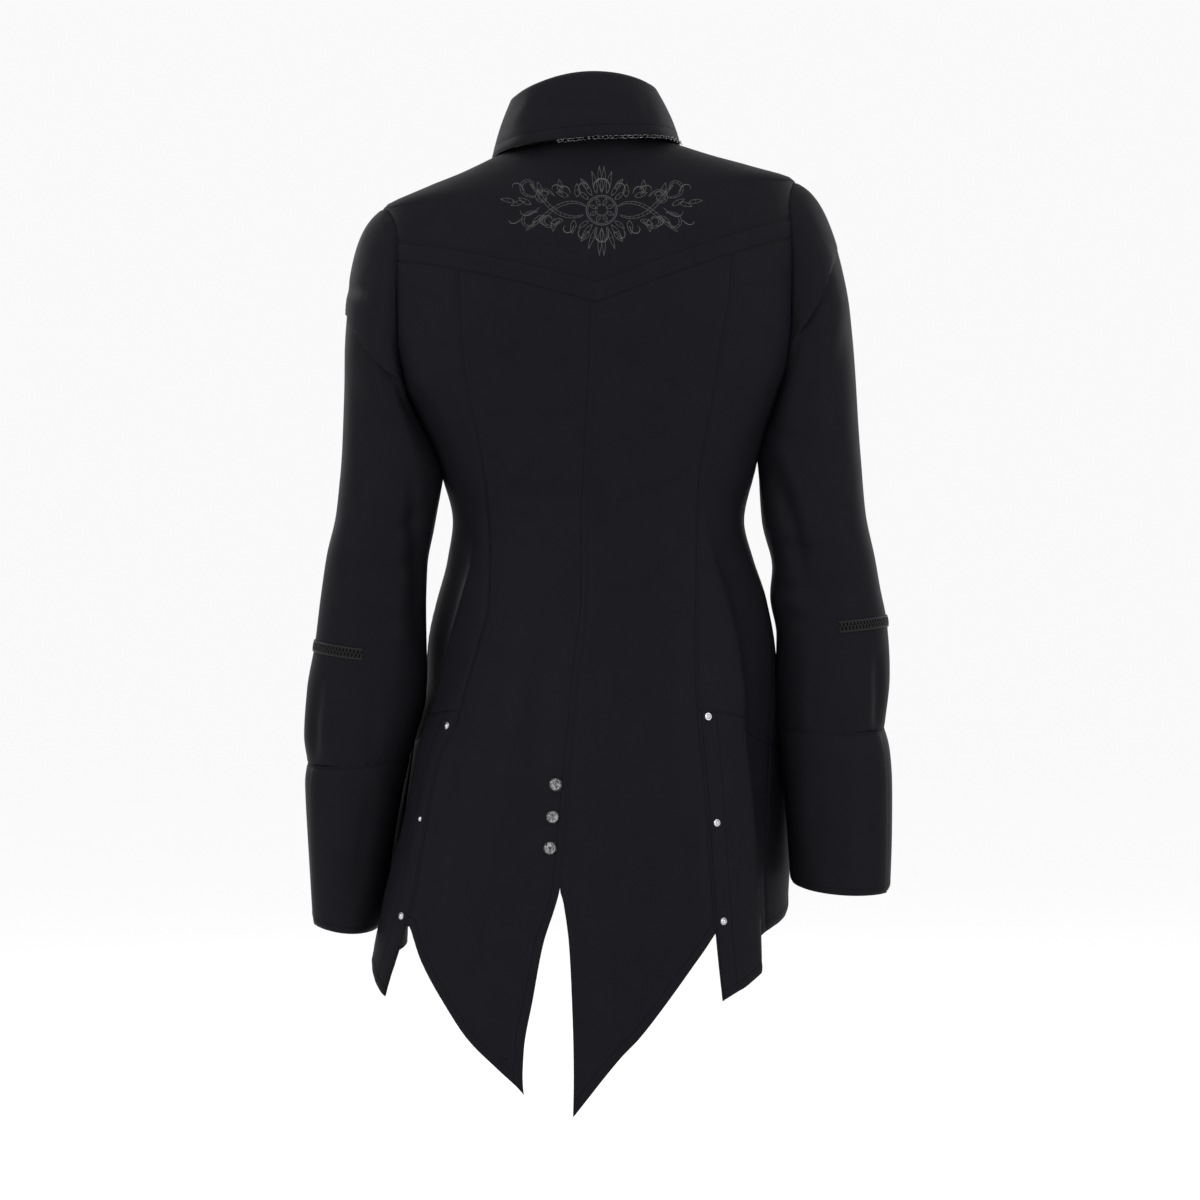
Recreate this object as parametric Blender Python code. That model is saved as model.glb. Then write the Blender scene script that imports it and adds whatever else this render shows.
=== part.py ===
"""A woman's fitted long-sleeved blouse with pointed tails, as worn, built from its cut pieces.

+Z is up, the front faces -Y and the wearer's left is +X. The origin lies between the shoulder
seams at the base of the neck. Every size is in millimetres until a mesh is made, in metres.

A place on the body is a turn (0 at the centre back, 90 at the left side, 180 at the centre
front) and a level (the height before the shoulders tilt). Every cut piece is a wall between two
turns and two levels of that one surface, so that neighbours meet at their seams.
"""

import math

import bpy
import numpy as np
from mathutils import Vector
from mathutils.bvhtree import BVHTree

MM = 0.001

# Cloth
WALL = 1.2  # one layer with its finish
CUFF_WALL = 1.8  # two layers and an interlining
COLLAR_WALL = 1.5
GAP = 0.3  # between two pieces that are sewn together

# Yoke and its band: heights of the two V seams at the centre back and at the armholes
YOKE_CENTRE, YOKE_SIDE = -128.0, -75.5
BAND_CENTRE, BAND_SIDE = -150.0, -96.0
V_REACH = 188.0  # from the centre back out to the armhole
V_BOW = 1.15

# Armhole: a tall oval on the side of the body
SHOULDER_POINT, ARMPIT = -40.0, -235.0
ARMHOLE_BACK, ARMHOLE_FRONT = 58.0, 63.0
ARMHOLE_SQUARE = 2.3
ARMHOLE_SPAN = 88.0  # how far from the side seam its edges are looked for, in degrees
BACK_SPAN = 84.0  # how far from the centre back the back seams are looked for
SIDE_SEAM = 90.0
CENTRE_FRONT = 180.0

# Neckline and collar
NECK_BACK, NECK_SIDE, NECK_FRONT = 14.0, 9.0, -65.0
STAND_BACK, STAND_FRONT = 52.5, 35.0
STAND_CLEAR = 0.7  # from the outside of the cloth that the stand is sewn round
STAND_LEAN = 12.0  # how far the back of the stand leans forward
STAND_NARROW = 6.0  # how far its sides lean in
ROLL_RADIUS = 2.6  # of the fold at the top of the collar
FALL_BELLY = 2.0
FALL_CLEAR = 0.6  # between the two layers beside the roll
STAND_END, FALL_END = 179.3, 176.0  # turns at which the stand and the fall end in front
CHAIN_TURNS = (22, -84)
CHAIN_THICK = 2.6

# Hard trim
STUD_RADIUS, STUD_HEIGHT, STUD_FROM_SEAM = 3.3, 2.4, 8.0
BUTTON_RADIUS, BUTTON_THICK = 6.0, 2.2
FRONT_BUTTON_RADIUS = 5.0
VENT_BUTTON_FROM_SEAM = 12.0
SHANK = 0.5  # between a button or stud and its cloth
SEAT_REACH = 9.0  # from the body's surface out to where the search for the cloth begins
STUD_LEVELS = {"left": (-535.0, -621.0, -710.0), "right": (-525.0, -621.0, -710.0)}
VENT_BUTTON_LEVELS = (-586.0, -615.0, -643.0)

# Front fastening
PLACKET_HALF = 14.0
PLACKET_BELOW_STAND = 4.0
FRONT_BUTTONS = 8
FIRST_BUTTON, LAST_BUTTON = -84.0, -612.0

# Sleeve and cuff
SLEEVE_SIDES, HEAD_ROWS, SLEEVE_ROWS = 24, 8, 10
ARRIVE_STEP = 12.0  # below the sleeve's first section, to find the way in which it runs on
ARMHOLE_CLEAR = 0.7  # of the sleeve's head from the cloth round the armhole
HEAD_FULLNESS = {"left": 0.95, "right": 1.35}  # how far the sleeve's head leaves the shoulder
TRIM_WIDTH, TRIM_THICK, TRIM_REACH = 10.0, 1.6, 85.0
SLIT_TURN = 30.0  # where the cuff's upper edge lies, back from the outermost line
CUFF_LAP = 14.0  # degrees that the under edge runs on beneath it
LIFT_REACH, LAP_CLEAR = 34.0, 0.6  # degrees over which the upper edge lifts, and its clearance
CUFF_CLEAR = 0.8  # from the sleeve's end, whose two edges are not quite level


def monotone_cubic(x, y, at):
    """Values at the given places on a smooth curve through (x, y) that never overshoots."""
    step, rise = np.diff(x), np.diff(y) / np.diff(x)
    same_way = rise[:-1] * rise[1:] > 0
    before, after = np.where(same_way, rise[:-1], 1), np.where(same_way, rise[1:], 1)
    left, right = step[:-1] + 2 * step[1:], 2 * step[:-1] + step[1:]
    inner = np.where(same_way, (left + right) / (right / before + left / after), 0)
    slope = np.concatenate([[rise[0]], inner, [rise[-1]]])
    k = np.clip(np.searchsorted(x, at, "right") - 1, 0, len(x) - 2)
    h = step[k]
    t = (at - x[k]) / h
    return (
        y[k] * (1 + 2 * t) * (1 - t) ** 2
        + y[k + 1] * t**2 * (3 - 2 * t)
        + slope[k] * h * t * (1 - t) ** 2
        - slope[k + 1] * h * t**2 * (1 - t)
    )


class Table:
    """Rows of named columns, read between its rows along a smooth curve in the first column."""

    FINE = 3000  # places at which each curve is worked out once

    def __init__(self, names, *rows):
        data = np.array(sorted(rows), float)
        self.first, self.last = data[0, 0], data[-1, 0]
        self.at = np.linspace(self.first, self.last, self.FINE)
        self.columns = {
            name: monotone_cubic(data[:, 0], column, self.at)
            for name, column in zip(names.split()[1:], data[:, 1:].T)
        }

    def of(self, name, at):
        """One column's value at the given places."""
        return np.interp(at, self.at, self.columns[name])


# The body's sections: half width, depth behind and before, and how square the oval is.
BODY = Table(
    "level half back front square",
    (20, 52, 56, 50, 2.0),
    (9, 67, 61, 57, 2.0),
    (0, 89, 65, 61, 2.0),
    (-12, 120, 70, 66, 2.0),
    (-24, 155, 75, 70, 2.05),
    (-40, 193, 81, 76, 2.15),
    (-60, 196, 88, 82, 2.4),
    (-90, 196, 97, 90, 2.8),
    (-130, 194, 104, 99, 3.0),
    (-170, 191, 107, 108, 3.0),
    (-205, 184, 106, 114, 2.8),
    (-235, 171, 103, 117, 2.5),
    (-265, 158, 98, 115, 2.3),
    (-285, 150.5, 94, 111, 2.25),
    (-300, 146, 91, 107, 2.2),
    (-345, 135.5, 83, 97, 2.15),
    (-380, 142, 86, 97, 2.15),
    (-420, 153, 96, 101, 2.15),
    (-460, 160, 107, 106, 2.15),
    (-500, 162.5, 117, 110, 2.2),
    (-540, 168, 124, 113, 2.2),
    (-600, 176.5, 131, 119, 2.25),
    (-650, 183, 135, 123, 2.3),
    (-700, 189, 138, 126, 2.3),
    (-800, 196, 142, 130, 2.3),
    (-900, 200, 144, 132, 2.3),
)

# How the body stands: its middle, its turn about the upright and the slope of the shoulders.
STANCE = Table(
    "level shift turn slope",
    (90, 11, 3.5, 0.073),
    (10, 4.4, 4, 0.073),
    (-40, 2.4, 4, 0.073),
    (-90, 1, 4, 0.070),
    (-170, 0, 3, 0.058),
    (-235, -3, 0, 0.035),
    (-300, -6, -3, 0.012),
    (-345, -5.4, -6, 0),
    (-420, -9.6, -8, 0),
    (-460, -10, -9, 0),
    (-500, -9, -9.5, 0),
    (-540, -3, -9.5, 0),
    (-600, 0, -10, 0),
    (-700, 6, -10, 0),
    (-900, 8, -10, 0),
)

# Rounded forms of the cut: turn and level of the middle, their spreads, and how far out.
SWELLS = (
    # turn, level, spread of turn, spread of level, out
    (150, -228, 22, 58, 13),
    (-150, -228, 22, 58, 13),
    (34, -150, 20, 55, 4),
    (-34, -150, 20, 55, 4),
    (28, -560, 26, 70, 4),
    (-28, -560, 26, 70, 4),
    (-116, -630, 9, 62, 23),
    (106, -620, 12, 80, 30),
    (100, -695, 9, 30, 7),
    (98, -465, 15, 50, 6),
    (64, -800, 9, 75, 15),
)

# The deep fold down each side of the skirt, in front of the near edge of the side back piece.
SIDE_FOLD = Table(
    "level edge width depth",
    (-340, 62, 24, 0),
    (-420, 64, 27, 8),
    (-500, 66, 31, 14),
    (-600, 68, 36, 20),
    (-700, 69, 38, 28),
    (-900, 69, 38, 30),
)
FOLD_LEAN = 1.7  # how far its deepest line lies towards its back edge

# Where the back seams run, as x at each level: the two edges of the centre back opening,
# which part below the vent's top, and the long seam on each side.
BACK_SEAMS = Table(
    "level vent_left vent_right left right",
    (-80, -5, -5, 122.5, -129.5),
    (-112, -5, -5, 122.3, -129.3),
    (-146, -4.8, -4.8, 120.7, -127.5),
    (-184, -4.2, -4.2, 118.8, -120.2),
    (-235, -2, -2, 112, -112),
    (-278, 0.3, 0.3, 104.1, -104),
    (-312, 2, 2, 99.7, -99.3),
    (-345, 3.5, 3.5, 96.3, -98.4),
    (-371, 3.4, 3.4, 95.4, -97.6),
    (-421, 3.8, 3.8, 96.1, -96.3),
    (-458, 7.5, 7.5, 105, -95.4),
    (-496, 12, 12, 115.9, -96),
    (-532, 15, 15, 125.9, -98.4),
    (-561, 18, 18, 138.9, -101.3),
    (-601, 21.8, 21.8, 148.2, -104.2),
    (-651, 26, 26, 156.6, -107.4),
    (-679, 28.6, 28.6, 161.6, -109.4),
    (-692, 31.7, 25.4, 163.8, -110.3),
    (-731, 44, 20.2, 174, -113.2),
    (-779, 53, 17.8, 188.5, -118),
    (-826, 61.5, 16.4, 199, -122),
    (-850, 62.5, 16.2, 204, -124),
    (-900, 55, 16.9, 212, -128),
)

# The slanting hems of the two tails: the level of the edge at each x.
LEFT_TAIL = Table(
    "x hem",
    (40, -888),
    (55, -874.5),
    (63, -863.5),
    (85, -843.5),
    (112, -818),
    (134, -787),
    (156, -749),
    (167, -719),
)
RIGHT_TAIL = Table(
    "x hem", (-112, -721), (-94, -746), (-44, -812), (-26, -831), (17, -885), (30, -901)
)

# The seam that joins the lower side pieces, the line on which the tails part from them, and
# the hem round the sides and the front.
LOWER_SEAM = Table(
    "turn level",
    (30, -517),
    (50, -519),
    (66, -525),
    (78, -540),
    (90, -553),
    (110, -563),
    (180, -575),
)
TAIL_LINE = Table("turn level", (30, -721), (60, -721), (90, -713))
SIDE_HEM = Table(
    "turn left right",
    (40, -790, -792),
    (46, -789, -789),
    (52, -788, -785),
    (59, -784, -775),
    (62, -777, -771),
    (66, -765, -764),
    (70, -754, -757),
    (80, -743, -742),
    (90, -731, -728),
    (104, -718, -713),
    (125, -672, -674),
    (150, -650, -650),
    (180, -640, -640),
)

# The sleeves' sections from under the arm to the cuff's seam and on to the cuff's edge: the
# outer and inner line, the middle and half of the depth, how much higher the outer line is
# than the inner one, and how far the back hangs lower than the middle.
LEFT_SLEEVE = Table(
    "level outer inner y deep rise drop",
    (-306, 234.5, 146.5, 8, 47, 8, 0),
    (-345, 239.5, 149, 8, 47, 9, 0),
    (-382, 248, 155.5, 7, 46, 10, 1),
    (-420, 253, 156.5, 5, 46, 11, 2),
    (-465, 258.5, 156.5, 2, 47, 11, 3),
    (-505, 267, 157.5, -2, 48, 5, 4),
    (-545, 270.5, 166, -6, 47, -3, 5),
    (-569, 267, 173, -9, 45, -6, 5),
)
LEFT_CUFF = Table(
    "level outer inner y deep rise drop",
    (-569, 269.5, 173, -9, 47, -6, 5),
    (-600, 268.5, 180, -11, 49, -4, 5),
    (-650, 266, 190, -14, 53, 1, 6),
    (-721, 262, 200, -17, 56, 7, 8),
)
RIGHT_SLEEVE = Table(
    "level outer inner y deep rise drop",
    (-285, 251, 160.5, 4, 47, 8, 0),
    (-340, 256, 161.5, 5, 47, 9, 0),
    (-385, 265, 171, 7, 46, 9, 0),
    (-412, 269, 168.5, 8, 46, 9, 1),
    (-447, 274.5, 174, 10, 46, 9, 2),
    (-494, 277, 173, 13, 47, 4, 3),
    (-538, 273, 174.5, 15, 46, -2, 4),
)
RIGHT_CUFF = Table(
    "level outer inner y deep rise drop",
    (-538, 275.5, 174.5, 15, 48, -2, 4),
    (-585, 279, 179.5, 18, 48, -3, 5),
    (-632, 278, 184, 21, 48, -5, 6),
    (-684, 276, 187, 25, 47, -6, 7),
)
TRIM_LEVELS = {"left": -467.0, "right": -443.0}

# The collar's outer edge: the turn of the roll above it, and where the edge lies.
COLLAR_EDGE = Table(
    "turn x y level",
    (0, 0, 80, 7),
    (45, 60, 60, 6),
    (90, 87, -4, 4),
    (120, 91, -62, -21),
    (150, 80, -90, -62),
    (176, 58, -104, -98),
)

MATERIALS = {
    # name: colour, roughness, metallic
    "black_cloth": ((0.012, 0.012, 0.014), 0.55, 0.0),
    "black_trim": ((0.020, 0.020, 0.023), 0.65, 0.0),
    "polished_metal": ((0.62, 0.62, 0.64), 0.22, 1.0),
    "aged_metal": ((0.30, 0.30, 0.31), 0.38, 1.0),
}


SEAM_LEVELS = np.arange(-950.0, 30.0, 0.5)  # where each upright seam is worked out once
SETTLE_FROM = 120.0  # the turn at which a line's level is first read


# ---------------------------------------------------------------- the body's surface


def side_fold(turn, level):
    """How far the cloth sinks in at the sides of the skirt: steep at its back edge, then easy."""
    edge, width = SIDE_FOLD.of("edge", level), SIDE_FOLD.of("width", level)
    along = np.clip((np.abs(turn) - edge) / width, 0, 1)
    return SIDE_FOLD.of("depth", level) * np.sin(math.pi * (1 - (1 - along) ** FOLD_LEAN))


def section(turn, level):
    """The body's outline at a level, before its stance: x and y."""
    half, square = BODY.of("half", level), BODY.of("square", level)
    s, c = np.sin(np.radians(turn)), np.cos(np.radians(turn))
    deep = np.where(c > 0, BODY.of("back", level), BODY.of("front", level))
    out = ((np.abs(s) / half) ** square + (np.abs(c) / deep) ** square) ** (-1 / square)
    for swell_turn, swell_level, wide, tall, far in SWELLS:
        beside = (turn - swell_turn + 180) % 360 - 180
        away = (beside / wide) ** 2 + ((level - swell_level) / tall) ** 2
        out = out + far * np.exp(-away / 2)
    out = out - side_fold(turn, level)
    return out * s, out * c


def stand_as_worn(x, y, level):
    """Turns, shifts and tilts a point of the straight garment into the stance."""
    angle = np.radians(STANCE.of("turn", level))
    across = x * np.cos(angle) - y * np.sin(angle) + STANCE.of("shift", level)
    along = x * np.sin(angle) + y * np.cos(angle)
    return np.stack([across, along, level - STANCE.of("slope", level) * across], axis=-1)


def body(turn, level):
    """Points of the body's surface."""
    turn, level = np.broadcast_arrays(np.asarray(turn, float), np.asarray(level, float))
    x, y = section(turn, level)
    return stand_as_worn(x, y, level)


def body_normal(turn, level):
    """The way out of the cloth there, from small steps along it."""
    turn, level = np.asarray(turn, float), np.asarray(level, float)
    across = body(turn + 0.4, level) - body(turn - 0.4, level)
    up = body(turn, level + 0.5) - body(turn, level - 0.5)
    return unit(np.cross(up, across))


def unit(v):
    return v / np.linalg.norm(v, axis=-1, keepdims=True)


def turn_where(inside, low, high):
    """The turn between two bounds where a rising measure passes nought, by halving."""
    for _ in range(34):
        middle = (low + high) / 2
        below = inside(middle) < 0
        low, high = np.where(below, middle, low), np.where(below, high, middle)
    return (low + high) / 2


def seam_through(turns):
    """A seam as a function of the level, from its turn at every level."""
    return lambda level: np.interp(level, SEAM_LEVELS, turns)


def back_seam(name):
    """The turn of a back seam at each level."""
    x, start = BACK_SEAMS.of(name, SEAM_LEVELS), np.zeros_like(SEAM_LEVELS)

    def beyond(turn):
        return body(turn, SEAM_LEVELS)[..., 0] - x

    return seam_through(turn_where(beyond, start - BACK_SPAN, start + BACK_SPAN))


def armhole(sign, front):
    """The turn of the armhole's back or front edge, and of the seams above and below it."""
    middle, half = (SHOULDER_POINT + ARMPIT) / 2, (SHOULDER_POINT - ARMPIT) / 2
    high = np.clip(np.abs(SEAM_LEVELS - middle) / half, 0, 1)
    shape = (1 - high**ARMHOLE_SQUARE) ** (1 / ARMHOLE_SQUARE)
    start = np.full_like(SEAM_LEVELS, SIDE_SEAM)

    def beyond(turn):
        y = section(turn, SEAM_LEVELS)[1]
        return -y - ARMHOLE_FRONT * shape if front else ARMHOLE_BACK * shape - y

    if front:
        found = turn_where(beyond, start, start + ARMHOLE_SPAN)
    else:
        found = turn_where(beyond, start - ARMHOLE_SPAN, start)
    return seam_through(sign * np.where(high >= 1, SIDE_SEAM, found))


def constant(value):
    return lambda level: np.full_like(np.asarray(level, float), value)


def moved(curve, across):
    """A seam moved sideways by a few tenths, so that two pieces stand clear of each other."""

    def turn(level):
        at = curve(level)
        reach = np.hypot(*section(at, np.asarray(level, float)))
        return at + np.degrees(across / reach)

    return turn


# ---------------------------------------------------------------- the lines across it


def by_x(height):
    """A line whose level depends on x, found on the surface by a few rounds."""

    def level(turn):
        found = np.full_like(turn, -110.0) if height(0.0) > -400 else np.full_like(turn, -700.0)
        for _ in range(8):
            found = height(body(turn, found)[..., 0])
        return found

    return level


def v_line(centre, side):
    """A shallow V, steepest at the centre back."""
    middle = float(BACK_SEAMS.of("vent_left", centre))

    def height(x):
        part = np.clip(np.abs(x - middle) / V_REACH, 0, 1)
        return centre + (side - centre) * (1 - (1 - part) ** V_BOW)

    return by_x(height)


def neckline(turn):
    """High and level round the back, then dropping to the centre front."""
    turn = np.abs(turn)
    behind = NECK_SIDE + (NECK_BACK - NECK_SIDE) * np.cos(np.radians(np.minimum(turn, 90))) ** 2
    before = np.clip((turn - 90) / 90, 0, 1) ** 2.6
    return behind + (NECK_FRONT - NECK_SIDE) * before


def front_row(turn):
    """From the shoulder point, sinking below the neckline towards the centre front."""
    return SHOULDER_POINT - 55 * ((np.abs(turn) - 90) / 90) ** 2


def raised(line, by):
    return lambda turn: line(turn) + by


def spaced(count, crowd="even"):
    """Steps from 0 to 1, crowded at the start, the finish, both ends or neither."""
    t = np.linspace(0, 1, count + 1)
    return {
        "even": t,
        "start": t**1.9,
        "finish": 1 - (1 - t) ** 1.9,
        "ends": (1 - np.cos(math.pi * t)) / 2,
    }[crowd]


# ---------------------------------------------------------------- solids


def wall_faces(rows, columns, closed):
    """Faces of two grids of points, the inner one first, and of the rims that join them."""
    across = columns if closed else columns - 1

    def index(r, c, layer):
        return layer * rows * columns + r * columns + c % columns

    faces = []
    for r in range(rows - 1):
        for c in range(across):
            square = [(r, c), (r, c + 1), (r + 1, c + 1), (r + 1, c)]
            faces.append([index(*p, 1) for p in square])
            faces.append([index(*p, 0) for p in reversed(square)])
    for r, flip in ((0, True), (rows - 1, False)):
        for c in range(across):
            rim = [index(r, c, 1), index(r, c + 1, 1), index(r, c + 1, 0), index(r, c, 0)]
            faces.append(rim[::-1] if flip else rim)
    if not closed:
        for c, flip in ((0, False), (columns - 1, True)):
            for r in range(rows - 1):
                rim = [index(r, c, 1), index(r + 1, c, 1), index(r + 1, c, 0), index(r, c, 0)]
                faces.append(rim[::-1] if flip else rim)
    return faces


def solid(name, points, faces, material, smooth_angle=40):
    """One closed object, its faces turned outwards by the sign of its volume."""
    points = np.asarray(points, float).reshape(-1, 3) * MM
    volume = 0.0
    for face in faces:
        for k in range(1, len(face) - 1):
            a, b, c = points[face[0]], points[face[k]], points[face[k + 1]]
            volume += np.dot(a, np.cross(b, c))
    if volume < 0:
        faces = [face[::-1] for face in faces]
    mesh = bpy.data.meshes.new(name)
    mesh.from_pydata(points.tolist(), [], faces)
    mesh.materials.append(bpy.data.materials[material])
    mesh.shade_smooth()
    mesh.set_sharp_from_angle(angle=math.radians(smooth_angle))
    thing = bpy.data.objects.new(name, mesh)
    bpy.context.scene.collection.objects.link(thing)
    return thing


def wall(name, inner, outward, thick, material="black_cloth", closed=False):
    """A sheet of cloth: a grid of points, the same points moved outwards, and the rims."""
    rows, columns = inner.shape[:2]
    points = np.concatenate([inner.reshape(-1, 3), (inner + outward * thick).reshape(-1, 3)])
    return solid(name, points, wall_faces(rows, columns, closed), material)


def grid_normals(points, closed, like):
    """Normals of a grid of points, all turned the way that the given directions point."""
    down = np.gradient(points, axis=0)
    if closed:
        across = np.roll(points, -1, axis=1) - np.roll(points, 1, axis=1)
    else:
        across = np.gradient(points, axis=1)
    normal = unit(np.cross(down, across))
    return normal * np.sign(np.sum(normal * like, axis=-1, keepdims=True))


def turned(name, place, normal, profile, sides, material):
    """A small turned piece standing on a surface: rings at (radius, height) along the normal."""
    normal = unit(np.asarray(normal, float))
    side = unit(np.cross(normal, (0.0, 0.0, 1.0)))
    up = np.cross(side, normal)
    angle = np.arange(sides) * 2 * math.pi / sides
    ring = np.cos(angle)[:, None] * side + np.sin(angle)[:, None] * up
    points = [place + normal * height + ring * radius for radius, height in profile]
    points = np.concatenate([*points, [place + normal * profile[0][1]], [place + normal * profile[-1][1]]])
    faces, rings = [], len(profile)
    for r in range(rings - 1):
        for k in range(sides):
            j = (k + 1) % sides
            faces.append([r * sides + k, r * sides + j, (r + 1) * sides + j, (r + 1) * sides + k])
    for k in range(sides):
        j = (k + 1) % sides
        faces.append([rings * sides, j, k])
        faces.append([rings * sides + 1, (rings - 1) * sides + k, (rings - 1) * sides + j])
    return solid(name, points, faces, material, 50)


# ---------------------------------------------------------------- cut pieces of the body


def settle(seam, line):
    """The turn where an upright seam meets a line across the body."""
    level = line(np.full(1, SETTLE_FROM))
    for _ in range(12):
        level = line(seam(level))
    return float(seam(level)[0])


def guide_row(line, seams, cells):
    """Turns along one line, evenly spread between each two seams that it crosses."""
    turns = []
    for start, end, count in zip(seams[:-1], seams[1:], cells):
        fine = np.linspace(settle(start, line), settle(end, line), 90)
        way = np.linalg.norm(np.diff(body(fine, line(fine)), axis=0), axis=1)
        along = np.concatenate([[0], np.cumsum(way)])
        turns.append(np.interp(np.linspace(0, along[-1], count + 1), along, fine))
    return turns, [line(part) for part in turns]


def rows_between(seams, upper, lower, steps):
    """Turns and levels of the rows from one guide row to the next, seam by seam."""
    turns, levels = [], []
    for t in steps:
        row_turns, row_levels = [], []
        for k, (start, end) in enumerate(zip(seams[:-1], seams[1:])):
            share = []
            for turn, level in ((upper[0][k], upper[1][k]), (lower[0][k], lower[1][k])):
                share.append((turn - start(level)) / (end(level) - start(level)))
            level = (1 - t) * upper[1][k] + t * lower[1][k]
            part = (1 - t) * share[0] + t * share[1]
            skip = 0 if k == 0 else 1
            row_turns.append((start(level) + part * (end(level) - start(level)))[skip:])
            row_levels.append(level[skip:])
        turns.append(np.concatenate(row_turns))
        levels.append(np.concatenate(row_levels))
    return turns, levels


def piece_grid(seams, cells, lines, steps, foot=None):
    """Turns and levels of a cut piece, between upright seams and lines across.

    Each pair of neighbouring lines takes one entry of steps, the places of the rows between.
    A foot is the seams and cells of the piece below, whose columns the last line takes over.
    """
    guides = [guide_row(line, seams, cells) for line in lines]
    if foot:
        below = guide_row(lines[-1], *foot)
        guides[-1] = [[np.concatenate([part[0], *(more[1:] for more in part[1:])])] for part in below]
    turns, levels = [], []
    for k, between in enumerate(steps):
        more = rows_between(seams, guides[k], guides[k + 1], between if k == 0 else between[1:])
        turns += more[0]
        levels += more[1]
    return np.array(turns), np.array(levels)


def cut_piece(name, seams, cells, lines, steps, foot=None):
    turns, levels = piece_grid(seams, cells, lines, steps, foot)
    return wall(name, body(turns, levels), body_normal(turns, levels), WALL)


def build_yoke():
    """The yoke over the shoulders, and the V-shaped band below it."""
    half = GAP / 2
    right, left = moved(armhole(-1, False), half), moved(armhole(1, False), -half)
    centre = back_seam("vent_left")
    upper_v, lower_v = v_line(YOKE_CENTRE, YOKE_SIDE), v_line(BAND_CENTRE, BAND_SIDE)
    cut_piece(
        "yoke_back",
        (right, centre, left),
        (9, 9),
        (neckline, level_line(SHOULDER_POINT), raised(upper_v, half)),
        (spaced(4), spaced(4, "start")),
    )
    cut_piece(
        "yoke_band",
        (right, centre, left),
        (9, 9),
        (raised(upper_v, -half), raised(lower_v, half)),
        (spaced(1),),
    )


def level_line(level):
    return lambda turn: np.full_like(turn, level)


def table_line(table, column="level"):
    """A line whose level a table gives by the turn from the centre back."""
    return lambda turn: table.of(column, np.abs(turn))


# Rows that neighbouring pieces share along their seams
ABOVE_ARMPIT, ABOVE_LOWER_SEAM = spaced(8, "finish"), spaced(11)
ABOVE_TAILS, BELOW_TAILS = spaced(8), spaced(3)
FRONT_ROWS = (spaced(3), spaced(9, "ends"), ABOVE_LOWER_SEAM)


def build_back():
    """The two centre back pieces, parted by the vent and ending in pointed tails."""
    half = GAP / 2
    top = raised(v_line(BAND_CENTRE, BAND_SIDE), -half)
    for side, inner, sign, hem in (
        ("left", "vent_left", 1, LEFT_TAIL),
        ("right", "vent_right", -1, RIGHT_TAIL),
    ):
        bottom = by_x(lambda x, hem=hem: hem.of("hem", x))
        cut_piece(
            "back_" + side,
            (moved(back_seam(inner), sign * half), moved(back_seam(side), -sign * half)),
            (6,),
            (top, level_line(ARMPIT), table_line(LOWER_SEAM), bottom),
            (ABOVE_ARMPIT, ABOVE_LOWER_SEAM, ABOVE_TAILS),
        )


def fold_edge(sign):
    """The back edge of the side fold, as a seam."""
    return lambda level: sign * SIDE_FOLD.of("edge", level)


def build_sides():
    """On each side the upper side back piece and the pointed piece below it."""
    half = GAP / 2
    top = raised(v_line(BAND_CENTRE, BAND_SIDE), -half)
    seam = table_line(LOWER_SEAM)
    for side, sign in (("left", 1), ("right", -1)):
        hem = table_line(SIDE_HEM, side)
        inner = moved(back_seam(side), sign * half)
        outer = moved(armhole(sign, False), -sign * half)
        edge = fold_edge(sign)
        cut_piece(
            "side_back_" + side,
            (inner, outer),
            (6,),
            (top, level_line(ARMPIT), raised(seam, half)),
            (ABOVE_ARMPIT, ABOVE_LOWER_SEAM),
            foot=((inner, edge, outer), (3, 3)),
        )
        cut_piece(
            "lower_side_" + side,
            (inner, edge, outer),
            (3, 3),
            (raised(seam, -half), table_line(TAIL_LINE), hem),
            (ABOVE_TAILS, BELOW_TAILS),
        )


def seat(piece, turn, level):
    """The place and the way out of a small fitting that stands just clear of a cut piece."""
    normal = Vector(body_normal(turn, level))
    start = Vector(body(turn, level)) + SEAT_REACH * normal
    mesh = bpy.data.objects[piece].data
    cloth = BVHTree.FromPolygons([v.co / MM for v in mesh.vertices], [f.vertices for f in mesh.polygons])
    found, facing, _, _ = cloth.ray_cast(start, -normal)
    return np.array(found + facing * SHANK), np.array(facing)


def button_profile(radius):
    """A flat button with a raised rim round a shallow dish."""
    return (
        (radius * 0.86, 0.0),
        (radius, 0.7),
        (radius * 0.97, BUTTON_THICK),
        (radius * 0.80, BUTTON_THICK),
        (radius * 0.72, BUTTON_THICK - 0.6),
        (radius * 0.30, BUTTON_THICK - 0.5),
    )


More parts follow.
